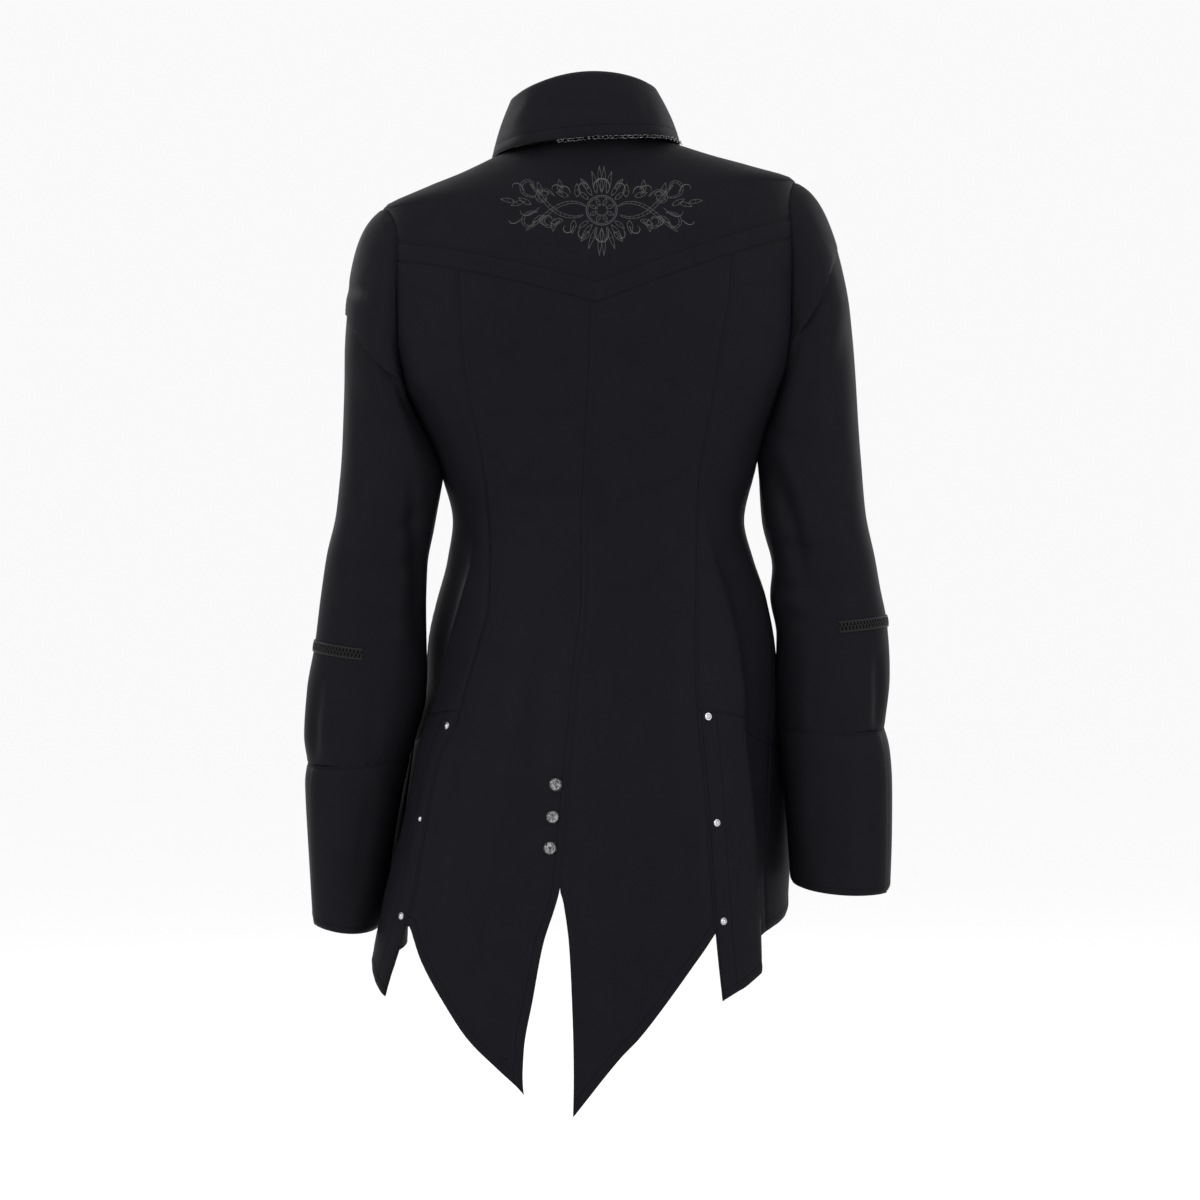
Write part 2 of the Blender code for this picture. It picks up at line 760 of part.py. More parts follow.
def build_fronts():
    """Each front in two pieces, the placket over their meeting edges, and its buttons."""
    half = GAP / 2
    seam = table_line(LOWER_SEAM)
    for side, sign in (("left", 1), ("right", -1)):
        hem = table_line(SIDE_HEM, side)
        outer = moved(armhole(sign, True), sign * half)
        inner = moved(constant(sign * CENTRE_FRONT), -sign * half)
        cut_piece(
            "front_" + side,
            (outer, inner),
            (8,),
            (neckline, front_row, level_line(ARMPIT), raised(seam, half)),
            FRONT_ROWS,
        )
        cut_piece(
            "lower_front_" + side,
            (outer, inner),
            (8,),
            (raised(seam, -half), hem),
            (ABOVE_TAILS,),
        )
    middle = np.full(1, CENTRE_FRONT)
    lines = (neckline, front_row, level_line(ARMPIT), seam, hem)
    ends = [float(line(middle)[0]) for line in lines]
    rows = [
        start + (end - start) * steps[:-1]
        for start, end, steps in zip(ends[:-1], ends[1:], (*FRONT_ROWS, ABOVE_TAILS))
    ]
    levels = np.concatenate([*rows, [ends[-1]]])[:, None]
    levels[0] -= PLACKET_BELOW_STAND
    across = np.array([-1.0, 0.0, 1.0])[None, :]
    reach = np.hypot(*section(np.full_like(levels, CENTRE_FRONT), levels))
    width = np.degrees(PLACKET_HALF / reach)
    turns, levels = np.broadcast_arrays(CENTRE_FRONT + across * width, levels)
    outward = body_normal(turns, levels)
    wall("front_placket", body(turns, levels) + outward * (WALL + GAP), outward, WALL)
    for k, level in enumerate(np.linspace(FIRST_BUTTON, LAST_BUTTON, FRONT_BUTTONS)):
        place, normal = seat("front_placket", CENTRE_FRONT, level)
        profile = button_profile(FRONT_BUTTON_RADIUS)
        turned(f"front_button_{k + 1}", place, normal, profile, 10, "aged_metal")


def build_studs():
    """Three domed studs down each side, and three buttons beside the vent."""
    dome = [(STUD_RADIUS * math.cos(a), STUD_HEIGHT * math.sin(a)) for a in np.radians((0, 35, 68))]
    for side, sign in (("left", 1), ("right", -1)):
        seam = moved(back_seam(side), sign * STUD_FROM_SEAM)
        for k, level in enumerate(STUD_LEVELS[side]):
            at = float(seam(np.array([level]))[0])
            place, normal = seat("lower_side_" + side, at, level)
            turned(f"stud_{side}_{k + 1}", place, normal, dome, 12, "polished_metal")
    seam = moved(back_seam("vent_left"), VENT_BUTTON_FROM_SEAM)
    for k, level in enumerate(VENT_BUTTON_LEVELS):
        at = float(seam(np.array([level]))[0])
        place, normal = seat("back_left", at, level)
        turned(f"vent_button_{k + 1}", place, normal, button_profile(BUTTON_RADIUS), 16, "aged_metal")


# ---------------------------------------------------------------- collar


def stand_top(turn):
    """Local x, y and level of the top of the collar's stand."""
    base = neckline(turn)
    x, y = section(turn, base)
    sine, cosine = np.sin(np.radians(turn)), np.cos(np.radians(turn))
    tall = (STAND_BACK + STAND_FRONT) / 2 + (STAND_BACK - STAND_FRONT) / 2 * cosine
    return x - STAND_NARROW * sine, y - STAND_LEAN * np.clip(cosine, 0, 1), base + tall


def collar_edge(turn):
    """Local x, y and level of the collar's outer edge, below the roll at this turn."""
    around = np.abs(turn)
    return (
        np.sign(turn) * COLLAR_EDGE.of("x", around),
        COLLAR_EDGE.of("y", around),
        COLLAR_EDGE.of("level", around),
    )


def build_collar():
    """The upright stand, the fall that rolls over it, and the chain under the fall's edge."""
    turns = np.linspace(-STAND_END, STAND_END, 35)
    base = body(turns, neckline(turns))
    base = base + body_normal(turns, neckline(turns)) * (WALL + STAND_CLEAR)
    top = stand_as_worn(*stand_top(turns))
    inner = np.array([base + (top - base) * high for high in (0, 0.5, 1)])
    away = unit((inner - inner.mean(axis=1, keepdims=True)) * (1, 1, 0))
    wall("collar_stand", inner, grid_normals(inner, False, away), COLLAR_WALL)

    turns = np.linspace(-FALL_END, FALL_END, 35)
    x, y, level = stand_top(turns)
    top = np.stack([x, y, level + GAP], axis=-1)
    edge = np.stack(collar_edge(turns), axis=-1)
    out = unit(np.stack([x, y, 0 * x], axis=-1))
    up = np.array([0.0, 0.0, 1.0])
    centre = top + out * ROLL_RADIUS
    rows = []
    for angle in np.radians((180, 120, 60)):
        rows.append(centre + ROLL_RADIUS * (math.cos(angle) * out + math.sin(angle) * up))
    start = centre + out * (ROLL_RADIUS + COLLAR_WALL + FALL_CLEAR)
    for part in np.linspace(0, 1, 5):
        rows.append(start + (edge - start) * part + out * FALL_BELLY * math.sin(math.pi * part))
    local = np.array(rows)
    inner = stand_as_worn(local[..., 0], local[..., 1], local[..., 2])
    hint = np.stack([up - out, up + 0 * out, up + out, *[out + 0.3 * up] * 5])
    wall("collar_fall", inner, grid_normals(inner, False, hint), COLLAR_WALL)

    turns = np.linspace(*CHAIN_TURNS, 30)
    x, y, level = collar_edge(turns)
    away = unit(np.stack([x, y], axis=-1))
    beside = np.sin(np.radians(turns)) ** 2  # under the edge behind, outside it at the shoulder
    out, down = 0.7 + 2.9 * beside, 1.9 - 1.6 * beside
    path = stand_as_worn(x + away[:, 0] * out, y + away[:, 1] * out, level - down)
    tube("collar_chain", path, CHAIN_THICK / 2, 6, "aged_metal")


def tube(name, path, radius, sides, material):
    """A closed tube along a path."""
    along = unit(np.gradient(path, axis=0))
    side = unit(np.cross(along, (0.0, 0.0, 1.0)))
    up = np.cross(side, along)
    angle = np.arange(sides) * 2 * math.pi / sides
    ring = np.cos(angle)[None, :, None] * side[:, None] + np.sin(angle)[None, :, None] * up[:, None]
    points = (path[:, None] + radius * ring).reshape(-1, 3)
    count = len(path)
    faces = [list(range(sides))[::-1], [(count - 1) * sides + k for k in range(sides)]]
    for r in range(count - 1):
        for k in range(sides):
            j = (k + 1) % sides
            faces.append([r * sides + k, r * sides + j, (r + 1) * sides + j, (r + 1) * sides + k])
    return solid(name, points, faces, material)


# ---------------------------------------------------------------- sleeves and cuffs


def arm_ring(table, sign, level, around):
    """Points of a sleeve's section: 0 is its outer line, 90 the back, 180 the inner line."""
    value = {name: table.of(name, level) for name in table.columns}
    c, s = np.cos(np.radians(around)), np.sin(np.radians(around))
    middle, half = (value["outer"] + value["inner"]) / 2, (value["outer"] - value["inner"]) / 2
    x = sign * (middle + half * c)
    y = value["y"] + value["deep"] * s
    z = level + value["rise"] / 2 * c - value["drop"] * s
    return np.stack(np.broadcast_arrays(x, y, z), axis=-1)


def armhole_ring(sign, around):
    """The armhole's edge in the sleeve's own turns, just clear of the cloth's outside."""
    c, s = np.cos(np.radians(around)), np.sin(np.radians(around))
    middle, half = (SHOULDER_POINT + ARMPIT) / 2, (SHOULDER_POINT - ARMPIT) / 2
    level = middle + half * c
    turn = np.where(s >= 0, armhole(sign, False)(level), armhole(sign, True)(level))
    clear = WALL + ARMHOLE_CLEAR + WALL * (1 - c) / 2
    return body(turn, level) + body_normal(turn, level) * clear[:, None]


def clear_of_body(points, clear):
    """Pushes points away from the body's middle until they stand clear of its surface."""
    x, y, level = points[..., 0], points[..., 1], points[..., 2]
    for _ in range(6):
        level = points[..., 2] + STANCE.of("slope", level) * x
    angle = np.radians(STANCE.of("turn", level))
    across, along = x - STANCE.of("shift", level), y
    turn = np.degrees(np.arctan2(across, along) + angle)
    reach = np.hypot(across, along)
    push = np.maximum(0, np.hypot(*section(turn, level)) + clear - reach) / reach
    return points + np.stack([across * push, along * push, 0 * push], axis=-1)


def sleeve_grid(sign, table, around, fullness):
    """Rows of a sleeve, from the armhole to the cuff's seam.

    The head is a cubic from the armhole's edge, leaving outwards at the top and inwards
    under the arm, to the first section; below it the sections follow the table.
    """
    edge = armhole_ring(sign, around)
    first = table.last
    ring = arm_ring(table, sign, first, around)
    below = arm_ring(table, sign, first - ARRIVE_STEP, around) - ring
    gap = np.linalg.norm(ring - edge, axis=-1, keepdims=True)
    high = (1 + np.cos(np.radians(around)))[:, None] / 2
    back = np.sin(np.radians(around))[:, None]
    leave = np.concatenate(
        [sign * (-0.35 + (0.35 + fullness) * high**0.6), 0.22 * back, -0.85 + 0.25 * high], axis=1
    )
    leave = unit(leave) * gap * (0.5 + 0.2 * high)
    arrive = unit(below) * gap
    rows = []
    for t in spaced(HEAD_ROWS):
        rows.append(
            edge * (1 + 2 * t) * (1 - t) ** 2
            + ring * t**2 * (3 - 2 * t)
            + leave * t * (1 - t) ** 2
            - arrive * t**2 * (1 - t)
        )
    rows[1:] = clear_of_body(np.array(rows[1:]), 2 * WALL + ARMHOLE_CLEAR)
    for level in np.linspace(first, table.first, SLEEVE_ROWS + 1)[1:]:
        rows.append(arm_ring(table, sign, level, around))
    return np.array(rows)


def outward_from_axis(points):
    """Directions away from the middle of each ring."""
    return unit(points - points.mean(axis=1, keepdims=True))


def build_sleeve(side, sign, table, cuff_table):
    """A sleeve, the narrow trim across its forearm and the deep cuff."""
    around = np.arange(SLEEVE_SIDES) * 360.0 / SLEEVE_SIDES
    points = sleeve_grid(sign, table, around, HEAD_FULLNESS[side])
    normals = grid_normals(points, True, outward_from_axis(points))
    wall("sleeve_" + side, points, normals, WALL, closed=True)

    count = round(TRIM_REACH / (360.0 / SLEEVE_SIDES))
    arc = np.arange(-count, count + 1) * 360.0 / SLEEVE_SIDES
    rows = [
        arm_ring(table, sign, TRIM_LEVELS[side] + high, arc)
        for high in (TRIM_WIDTH / 2, 0, -TRIM_WIDTH / 2)
    ]
    trim = np.array(rows)
    away = unit(np.stack([sign * np.cos(np.radians(arc)), np.sin(np.radians(arc)), 0 * arc], axis=-1))
    away = np.broadcast_to(away, trim.shape)
    normal = grid_normals(trim, False, away)
    wall("trim_" + side, trim + normal * (WALL + SHANK), normal, TRIM_THICK, "black_trim")

    arc = np.linspace(SLIT_TURN, SLIT_TURN + 360 + CUFF_LAP, 32)
    lifted = np.clip(1 - (arc - SLIT_TURN - CUFF_LAP) / LIFT_REACH, 0, 1) ** 1.5
    lifted = lifted * (CUFF_WALL + LAP_CLEAR)
    rows = []
    for level in np.linspace(cuff_table.last - CUFF_CLEAR, cuff_table.first, 6):
        rows.append(arm_ring(cuff_table, sign, level, arc))
    cuff = np.array(rows)
    away = np.stack([sign * np.cos(np.radians(arc)), np.sin(np.radians(arc)), 0 * arc], axis=-1)
    away = np.broadcast_to(away, cuff.shape)
    normal = grid_normals(cuff, False, away)
    wall("cuff_" + side, cuff + normal * lifted[None, :, None], normal, CUFF_WALL)


# ---------------------------------------------------------------- the whole garment


def clear_scene():
    for thing in list(bpy.data.objects):
        bpy.data.objects.remove(thing, do_unlink=True)


def make_materials():
    for name, (colour, roughness, metallic) in MATERIALS.items():
        material = bpy.data.materials.new(name)
        material.use_nodes = True
        shader = material.node_tree.nodes["Principled BSDF"]
        shader.inputs["Base Color"].default_value = (*colour, 1)
        shader.inputs["Roughness"].default_value = roughness
        shader.inputs["Metallic"].default_value = metallic


def main():
    clear_scene()
    make_materials()
    build_yoke()
    build_back()
    build_sides()
    build_fronts()
    build_studs()
    build_collar()
    build_sleeve("left", 1, LEFT_SLEEVE, LEFT_CUFF)
    build_sleeve("right", -1, RIGHT_SLEEVE, RIGHT_CUFF)


main()
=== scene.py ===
"""Looks of a fitted black blouse as worn: its cut pieces, seams, trims and fastenings.

+Z is up, the front faces -Y and the garment's left is +X. Sizes are in millimetres until a mesh
is made, in metres. A place on the body is a turn (0 at the centre back, 90 at the left side, 180
at the centre front) and a level (the height before the shoulders tilt).
"""

import logging
import math
from collections.abc import Callable, Sequence
from dataclasses import dataclass, field
from enum import Enum

import bpy
import numpy as np
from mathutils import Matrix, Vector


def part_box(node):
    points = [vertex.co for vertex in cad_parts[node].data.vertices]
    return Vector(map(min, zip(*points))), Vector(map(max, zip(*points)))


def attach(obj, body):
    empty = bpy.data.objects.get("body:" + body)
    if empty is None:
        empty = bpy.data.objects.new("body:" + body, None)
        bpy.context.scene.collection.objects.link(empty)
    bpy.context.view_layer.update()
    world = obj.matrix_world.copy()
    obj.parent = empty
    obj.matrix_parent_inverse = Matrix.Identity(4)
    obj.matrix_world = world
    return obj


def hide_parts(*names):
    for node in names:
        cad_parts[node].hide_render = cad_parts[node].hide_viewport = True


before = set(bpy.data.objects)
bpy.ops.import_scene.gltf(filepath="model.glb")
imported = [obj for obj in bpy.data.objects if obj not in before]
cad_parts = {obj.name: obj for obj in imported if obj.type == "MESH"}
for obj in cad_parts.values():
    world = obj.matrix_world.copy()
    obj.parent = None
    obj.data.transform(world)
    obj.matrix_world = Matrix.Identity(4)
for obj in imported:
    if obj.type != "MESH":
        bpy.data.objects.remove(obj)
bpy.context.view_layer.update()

log = logging.getLogger("blouse")

Array = np.ndarray
Curve = Callable[[Array], Array]
Colour = tuple[float, float, float]
Material, Thing, Socket = bpy.types.Material, bpy.types.Object, bpy.types.NodeSocket

MM = 0.001
TAU = 2 * math.pi
TINY = 1e-12  # keeps a length that divides off nought

# Cloth
WALL, CUFF_WALL, COLLAR_WALL = 1.2, 1.8, 1.5
GAP = 0.3  # between the solids of two pieces that are sewn together
SEAM_GAP = -0.1  # between the same two pieces here, so that no light comes through
PITCH = 4.0  # of a piece's grid
EDGE_ROWS = (0.45, 1.1, 2.2)  # closer rows along every edge
ROLL_IN, ROLL_REACH = 0.84, 1.9  # share of its thickness that an edge loses, and how far in
EDGE_CLEAR = 1.35  # no plain row comes nearer than this many times the last closer one
PUCKER_PITCH, PUCKER_REACH, PUCKER_LEAN = 8.5, 6.0, 0.4
HEM_RISE = 0.4  # of the doubled cloth along a hem
HEM_INSIDE, HEM_OUTSIDE = 1.5, 0.5  # where its step starts and ends, beside the hem's line
SLEEVE_PITCH = 2.1  # of a sleeve's grid

# Creases
CREASE_DEPTH = 1.5  # of every crease, over what its row says
CREASE_POINTS = 28  # along a crease's line
TAPER_START, TAPER_SPAN, TAPER_POWER = 0.06, 0.88, 0.7  # the part of a half wave it fades by
DIP_SHARE, DIP_WIDTH = 0.3, 2.3  # of the wider bell that is taken off each crease
FACING_FROM, FACING_AT = -0.15, 0.4  # how far cloth faces a crease's way: none of it, and all
LAP_EDGE, LAP_REACH = 1.3, 1.6  # half of a lap's step, and its reach as a share of the width
LAP_DRAG = 1.15  # how far a lap is drawn over the cloth below, as a share of its height

# Stitches
STITCH_PITCH, STITCH_LONG, STITCH_HALF, STITCH_SIDES = 3.2, 2.5, 0.22, 5
STITCH_PLACES = (-0.5, -0.3, 0.3, 0.5)  # of a stitch's four rings along its length
STITCH_LIFTS = (-0.2, 0.02, 0.02, -0.2)
STITCH_SWELL = (0.5, 1.0, 1.0, 0.5)
GROOVE, GROOVE_REACH = 0.5, 0.85  # pressed into the cloth along a row of stitches

# Yoke and its band
YOKE_CENTRE, YOKE_SIDE = -128.0, -75.5
BAND_CENTRE, BAND_SIDE = -150.0, -96.0
V_REACH, V_BOW = 188.0, 1.15

# Armhole
SHOULDER_POINT, ARMPIT = -40.0, -235.0
ARMHOLE_BACK, ARMHOLE_FRONT = 58.0, 63.0
ARMHOLE_SQUARE = 2.3
SIDE_SEAM, CENTRE_FRONT = 90.0, 180.0

# Neckline and collar
NECK_BACK, NECK_SIDE, NECK_FRONT = 14.0, 9.0, -65.0
NECK_POWER = 2.6  # of the neckline's drop to the centre front
FRONT_ROW_SINK = 55.0
STAND_BACK, STAND_FRONT = 52.5, 35.0
STAND_CLEAR, STAND_LEAN, STAND_NARROW = 0.7, 12.0, 6.0
ROLL_RADIUS, FALL_BELLY = 2.6, 2.0

# Front fastening
PLACKET_HALF, PLACKET_BELOW_STAND = 14.0, 4.0

# Sleeve and cuff
ARMHOLE_CLEAR = -0.5  # between the sleeve and the side where they touch
FREE_FROM, FREE_AT = 3.0, 12.0  # off the body: where a sleeve's creases start, and are whole
TRIM_REACH = 85.0  # turn to either side of the sleeve's outer line
SLIT_TURN, CUFF_LAP = 30.0, 14.0

# Braid and threads
CORD_SIDES = 6
LOOP_SWING, LOOP_HIGH = 0.9 * 360 / 320, 3.3
LOOP_CORD, EDGE_CORD = (0.62, 0.55), (0.85, 0.7)  # half of a cord's width and height
CORD_HIGH, CORD_WANDER, CORD_LIFT = 4.3, 0.25, 0.75

# How finely places are searched
HALVINGS = 34
BACK_REACH, ARMHOLE_REACH = 84.0, 88.0  # turns between which a place or an edge lies
NORMAL_TURN, NORMAL_LEVEL = 0.4, 0.5  # steps to either side for the way out
LINE_ROUNDS, CORNER_ROUNDS = 8, 12
GUIDE_TURN, GUIDE_POINTS = 120.0, 160
YOKE_GUESS, HEM_GUESS, WAIST = -110.0, -700.0, -400.0  # levels that a line's search starts at


# ---- curves and tables


def unit(vectors: Array) -> Array:
    """Vectors of the same directions and a length of one."""
    return vectors / np.maximum(np.linalg.norm(vectors, axis=-1, keepdims=True), TINY)


def cos_sin(degrees: Array) -> tuple[Array, Array]:
    """The cosine and the sine of an angle in degrees."""
    angle = np.radians(degrees)
    return np.cos(angle), np.sin(angle)


def smooth_step(low: float, high: float, value: Array) -> Array:
    """0 below low and 1 above high, with an S-shaped cubic between."""
    t = np.clip((value - low) / (high - low), 0, 1)
    return t * t * (3 - 2 * t)


def monotone_cubic(x: Array, y: Array, at: Array) -> Array:
    """Values on a smooth curve through points that never overshoots them.

    Each slope is the harmonic mean of the rises beside it, or nought where they turn.

    Args:
        x: rising places of the points.
        y: their values.
        at: the places to read.

    Returns:
        The curve's values there.
    """
    step, rise = np.diff(x), np.diff(y) / np.diff(x)
    same_way = rise[:-1] * rise[1:] > 0
    before, after = np.where(same_way, rise[:-1], 1), np.where(same_way, rise[1:], 1)
    left, right = step[:-1] + 2 * step[1:], 2 * step[:-1] + step[1:]
    inner = np.where(same_way, (left + right) / (right / before + left / after), 0)
    slope = np.concatenate([[rise[0]], inner, [rise[-1]]])
    k = np.clip(np.searchsorted(x, at, "right") - 1, 0, len(x) - 2)
    h = step[k]
    t = (at - x[k]) / h
    return (
        y[k] * (1 + 2 * t) * (1 - t) ** 2
        + y[k + 1] * t**2 * (3 - 2 * t)
        + slope[k] * h * t * (1 - t) ** 2
        - slope[k + 1] * h * t**2 * (1 - t)
    )


class Table:
    """Rows of named columns, read between its rows along a smooth curve in the first column."""

    FINE = 3000  # places at which each curve is worked out once

    def __init__(self, names: str, *rows: tuple[float, ...]) -> None:
        """Works out each column's curve.

        Args:
            names: the names of the columns, parted by blanks.
            rows: the numbers, one tuple a row.
        """
        data = np.array(sorted(rows), float)
        self.first, self.last = data[0, 0], data[-1, 0]
        self.at = np.linspace(self.first, self.last, self.FINE)
        self.columns = {
            name: monotone_cubic(data[:, 0], column, self.at)
            for name, column in zip(names.split()[1:], data[:, 1:].T)
        }

    def of(self, name: str, at: Array) -> Array:
        """One column's value at the given places."""
        return np.interp(at, self.at, self.columns[name])


BODY = Table(
    "level half back front square",
    (20, 52, 56, 50, 2.0),
    (9, 67, 61, 57, 2.0),
    (0, 89, 65, 61, 2.0),
    (-12, 120, 70, 66, 2.0),
    (-24, 155, 75, 70, 2.05),
    (-40, 193, 81, 76, 2.15),
    (-60, 196, 88, 82, 2.4),
    (-90, 196, 97, 90, 2.8),
    (-130, 194, 104, 99, 3.0),
    (-170, 191, 107, 108, 3.0),
    (-205, 184, 106, 114, 2.8),
    (-235, 171, 103, 117, 2.5),
    (-265, 158, 98, 115, 2.3),
    (-285, 150.5, 94, 111, 2.25),
    (-300, 146, 91, 107, 2.2),
    (-345, 135.5, 83, 97, 2.15),
    (-380, 142, 86, 97, 2.15),
    (-420, 153, 96, 101, 2.15),
    (-460, 160, 107, 106, 2.15),
    (-500, 162.5, 117, 110, 2.2),
    (-540, 168, 124, 113, 2.2),
    (-600, 176.5, 131, 119, 2.25),
    (-650, 183, 135, 123, 2.3),
    (-700, 189, 138, 126, 2.3),
    (-800, 196, 142, 130, 2.3),
    (-900, 200, 144, 132, 2.3),
)

STANCE = Table(
    "level shift turn slope",
    (90, 11, 3.5, 0.073), (10, 4.4, 4, 0.073), (-40, 2.4, 4, 0.073), (-90, 1, 4, 0.070),
    (-170, 0, 3, 0.058), (-235, -3, 0, 0.035), (-300, -6, -3, 0.012), (-345, -5.4, -6, 0),
    (-420, -9.6, -8, 0), (-460, -10, -9, 0), (-500, -9, -9.5, 0), (-540, -3, -9.5, 0),
    (-600, 0, -10, 0), (-700, 6, -10, 0), (-900, 8, -10, 0),
)

SWELLS = (
    # turn, level, spread of turn, spread of level, out
    (150, -228, 22, 58, 13), (-150, -228, 22, 58, 13), (34, -150, 20, 55, 4),
    (-34, -150, 20, 55, 4), (28, -560, 26, 70, 4), (-28, -560, 26, 70, 4),
    (-116, -630, 9, 62, 23), (106, -620, 12, 80, 30), (100, -695, 9, 30, 7),
    (98, -465, 15, 50, 6), (-106, -532, 14, 40, 6), (64, -800, 9, 75, 15),
)

SIDE_FOLD = Table(
    "level edge width depth",
    (-340, 62, 24, 0), (-420, 64, 27, 8), (-500, 66, 31, 14), (-600, 68, 36, 20),
    (-700, 69, 38, 28), (-900, 69, 38, 30),
)
FOLD_LEAN = 1.7  # how far the fold's deepest line lies towards its back edge

BACK_SEAMS = Table(
    "level vent_left vent_right left right",
    (-80, -5, -5, 122.5, -129.5),
    (-112, -5, -5, 122.3, -129.3),
    (-146, -4.8, -4.8, 120.7, -127.5),
    (-184, -4.2, -4.2, 118.8, -120.2),
    (-235, -2, -2, 112, -112),
    (-278, 0.3, 0.3, 104.1, -104),
    (-312, 2, 2, 99.7, -99.3),
    (-345, 3.5, 3.5, 96.3, -98.4),
    (-371, 3.4, 3.4, 95.4, -97.6),
    (-421, 3.8, 3.8, 96.1, -96.3),
    (-458, 7.5, 7.5, 105, -95.4),
    (-496, 12, 12, 115.9, -96),
    (-532, 15, 15, 125.9, -98.4),
    (-561, 18, 18, 138.9, -101.3),
    (-601, 21.8, 21.8, 148.2, -104.2),
    (-651, 26, 26, 156.6, -107.4),
    (-679, 28.6, 28.6, 161.6, -109.4),
    (-692, 31.7, 25.4, 163.8, -110.3),
    (-731, 44, 20.2, 174, -113.2),
    (-779, 53, 17.8, 188.5, -118),
    (-826, 61.5, 16.4, 199, -122),
    (-850, 62.5, 16.2, 204, -124),
    (-900, 55, 16.9, 212, -128),
)

LEFT_TAIL = Table(
    "x hem",
    (40, -888), (55, -874.5), (63, -863.5), (85, -843.5), (112, -818), (134, -787), (156, -749),
    (167, -719),
)
RIGHT_TAIL = Table(
    "x hem",
    (-112, -721), (-94, -746), (-44, -812), (-26, -831), (17, -885), (30, -901),
)
LOWER_SEAM = Table(
    "turn level",
    (30, -517), (50, -519), (66, -525), (78, -540), (90, -553), (110, -563), (180, -575),
)
TAIL_LINE = Table("turn level", (30, -721), (60, -721), (90, -713))
SIDE_HEM = Table(
    "turn left right",
    (40, -790, -792), (46, -789, -789), (52, -788, -785), (59, -784, -775), (62, -777, -771),
    (66, -765, -764), (70, -754, -757), (80, -743, -742), (90, -731, -728), (104, -718, -713),
    (125, -672, -674), (150, -650, -650), (180, -640, -640),
)

LEFT_SLEEVE = Table(
    "level outer inner y deep rise drop",
    (-306, 234.5, 141.5, 8, 47, 8, 0),
    (-345, 239.5, 149, 8, 47, 9, 0),
    (-382, 248, 155.5, 7, 46, 10, 1),
    (-420, 253, 156.5, 5, 46, 11, 2),
    (-465, 258.5, 156.5, 2, 47, 11, 3),
    (-505, 267, 157.5, -2, 48, 5, 4),
    (-545, 270.5, 166, -6, 47, -3, 5),
    (-569, 267, 173, -9, 45, -6, 5),
)
LEFT_CUFF = Table(
    "level outer inner y deep rise drop",
    (-569, 269.5, 173, -9, 47, -6, 5), (-600, 268.5, 180, -11, 49, -4, 5),
    (-650, 266, 190, -14, 53, 1, 6), (-721, 262, 200, -17, 56, 7, 8),
)
RIGHT_SLEEVE = Table(
    "level outer inner y deep rise drop",
    (-285, 251, 156.5, 4, 47, 8, 0),
    (-340, 256, 161.5, 5, 47, 9, 0),
    (-385, 265, 171, 7, 46, 9, 0),
    (-412, 269, 168.5, 8, 46, 9, 1),
    (-447, 274.5, 174, 10, 46, 9, 2),
    (-494, 277, 173, 13, 47, 4, 3),
    (-538, 273, 174.5, 15, 46, -2, 4),
)
RIGHT_CUFF = Table(
    "level outer inner y deep rise drop",
    (-538, 275.5, 174.5, 15, 48, -2, 4), (-585, 279, 179.5, 18, 48, -3, 5),
    (-632, 278, 184, 21, 48, -5, 6), (-684, 276, 187, 25, 47, -6, 7),
)

COLLAR_EDGE = Table(
    "turn x y level",
    (0, 0, 80, 7), (45, 60, 60, 6), (90, 87, -4, 4), (120, 91, -62, -21), (150, 80, -90, -62),
    (176, 58, -104, -98),
)

SEAM_LEVELS = np.arange(-950.0, 30.0, 0.5)  # where each upright seam is worked out once


# ---- the body's surface


def side_fold(turn: Array, level: Array) -> Array:
    """How far the cloth sinks in at the sides of the skirt: a sine that leans to its back edge."""
    edge, width = SIDE_FOLD.of("edge", level), SIDE_FOLD.of("width", level)
    along = np.clip((np.abs(turn) - edge) / width, 0, 1)
    return SIDE_FOLD.of("depth", level) * np.sin(math.pi * (1 - (1 - along) ** FOLD_LEAN))


def section(turn: Array, level: Array) -> tuple[Array, Array]:
    """The body's outline before its stance: a squared oval, with swells added and folds taken off.

    Args:
        turn: degrees from the centre back.
        level: height before the shoulders tilt.

    Returns:
        x and y of the outline.
    """
    half, square = BODY.of("half", level), BODY.of("square", level)
    c, s = cos_sin(turn)
    deep = np.where(c > 0, BODY.of("back", level), BODY.of("front", level))
    out = ((np.abs(s) / half) ** square + (np.abs(c) / deep) ** square) ** (-1 / square)
    for swell_turn, swell_level, wide, tall, far in SWELLS:
        beside = (turn - swell_turn + 180) % 360 - 180
        away = (beside / wide) ** 2 + ((level - swell_level) / tall) ** 2
        out = out + far * np.exp(-away / 2)
    out = out - side_fold(turn, level)
    return out * s, out * c


def stand_as_worn(x: Array, y: Array, level: Array) -> Array:
    """A point of the straight garment, turned, shifted and tilted into the stance."""
    angle = np.radians(STANCE.of("turn", level))
    across = x * np.cos(angle) - y * np.sin(angle) + STANCE.of("shift", level)
    along = x * np.sin(angle) + y * np.cos(angle)
    return np.stack([across, along, level - STANCE.of("slope", level) * across], axis=-1)


def body(turn: Array, level: Array) -> Array:
    """Points of the body's surface."""
    turn, level = np.broadcast_arrays(np.asarray(turn, float), np.asarray(level, float))
    x, y = section(turn, level)
    return stand_as_worn(x, y, level)


def body_normal(turn: Array, level: Array) -> Array:
    """The way out of the cloth: the cross product of small steps up and across it."""
    turn, level = np.asarray(turn, float), np.asarray(level, float)
    across = body(turn + NORMAL_TURN, level) - body(turn - NORMAL_TURN, level)
    up = body(turn, level + NORMAL_LEVEL) - body(turn, level - NORMAL_LEVEL)
    return unit(np.cross(up, across))


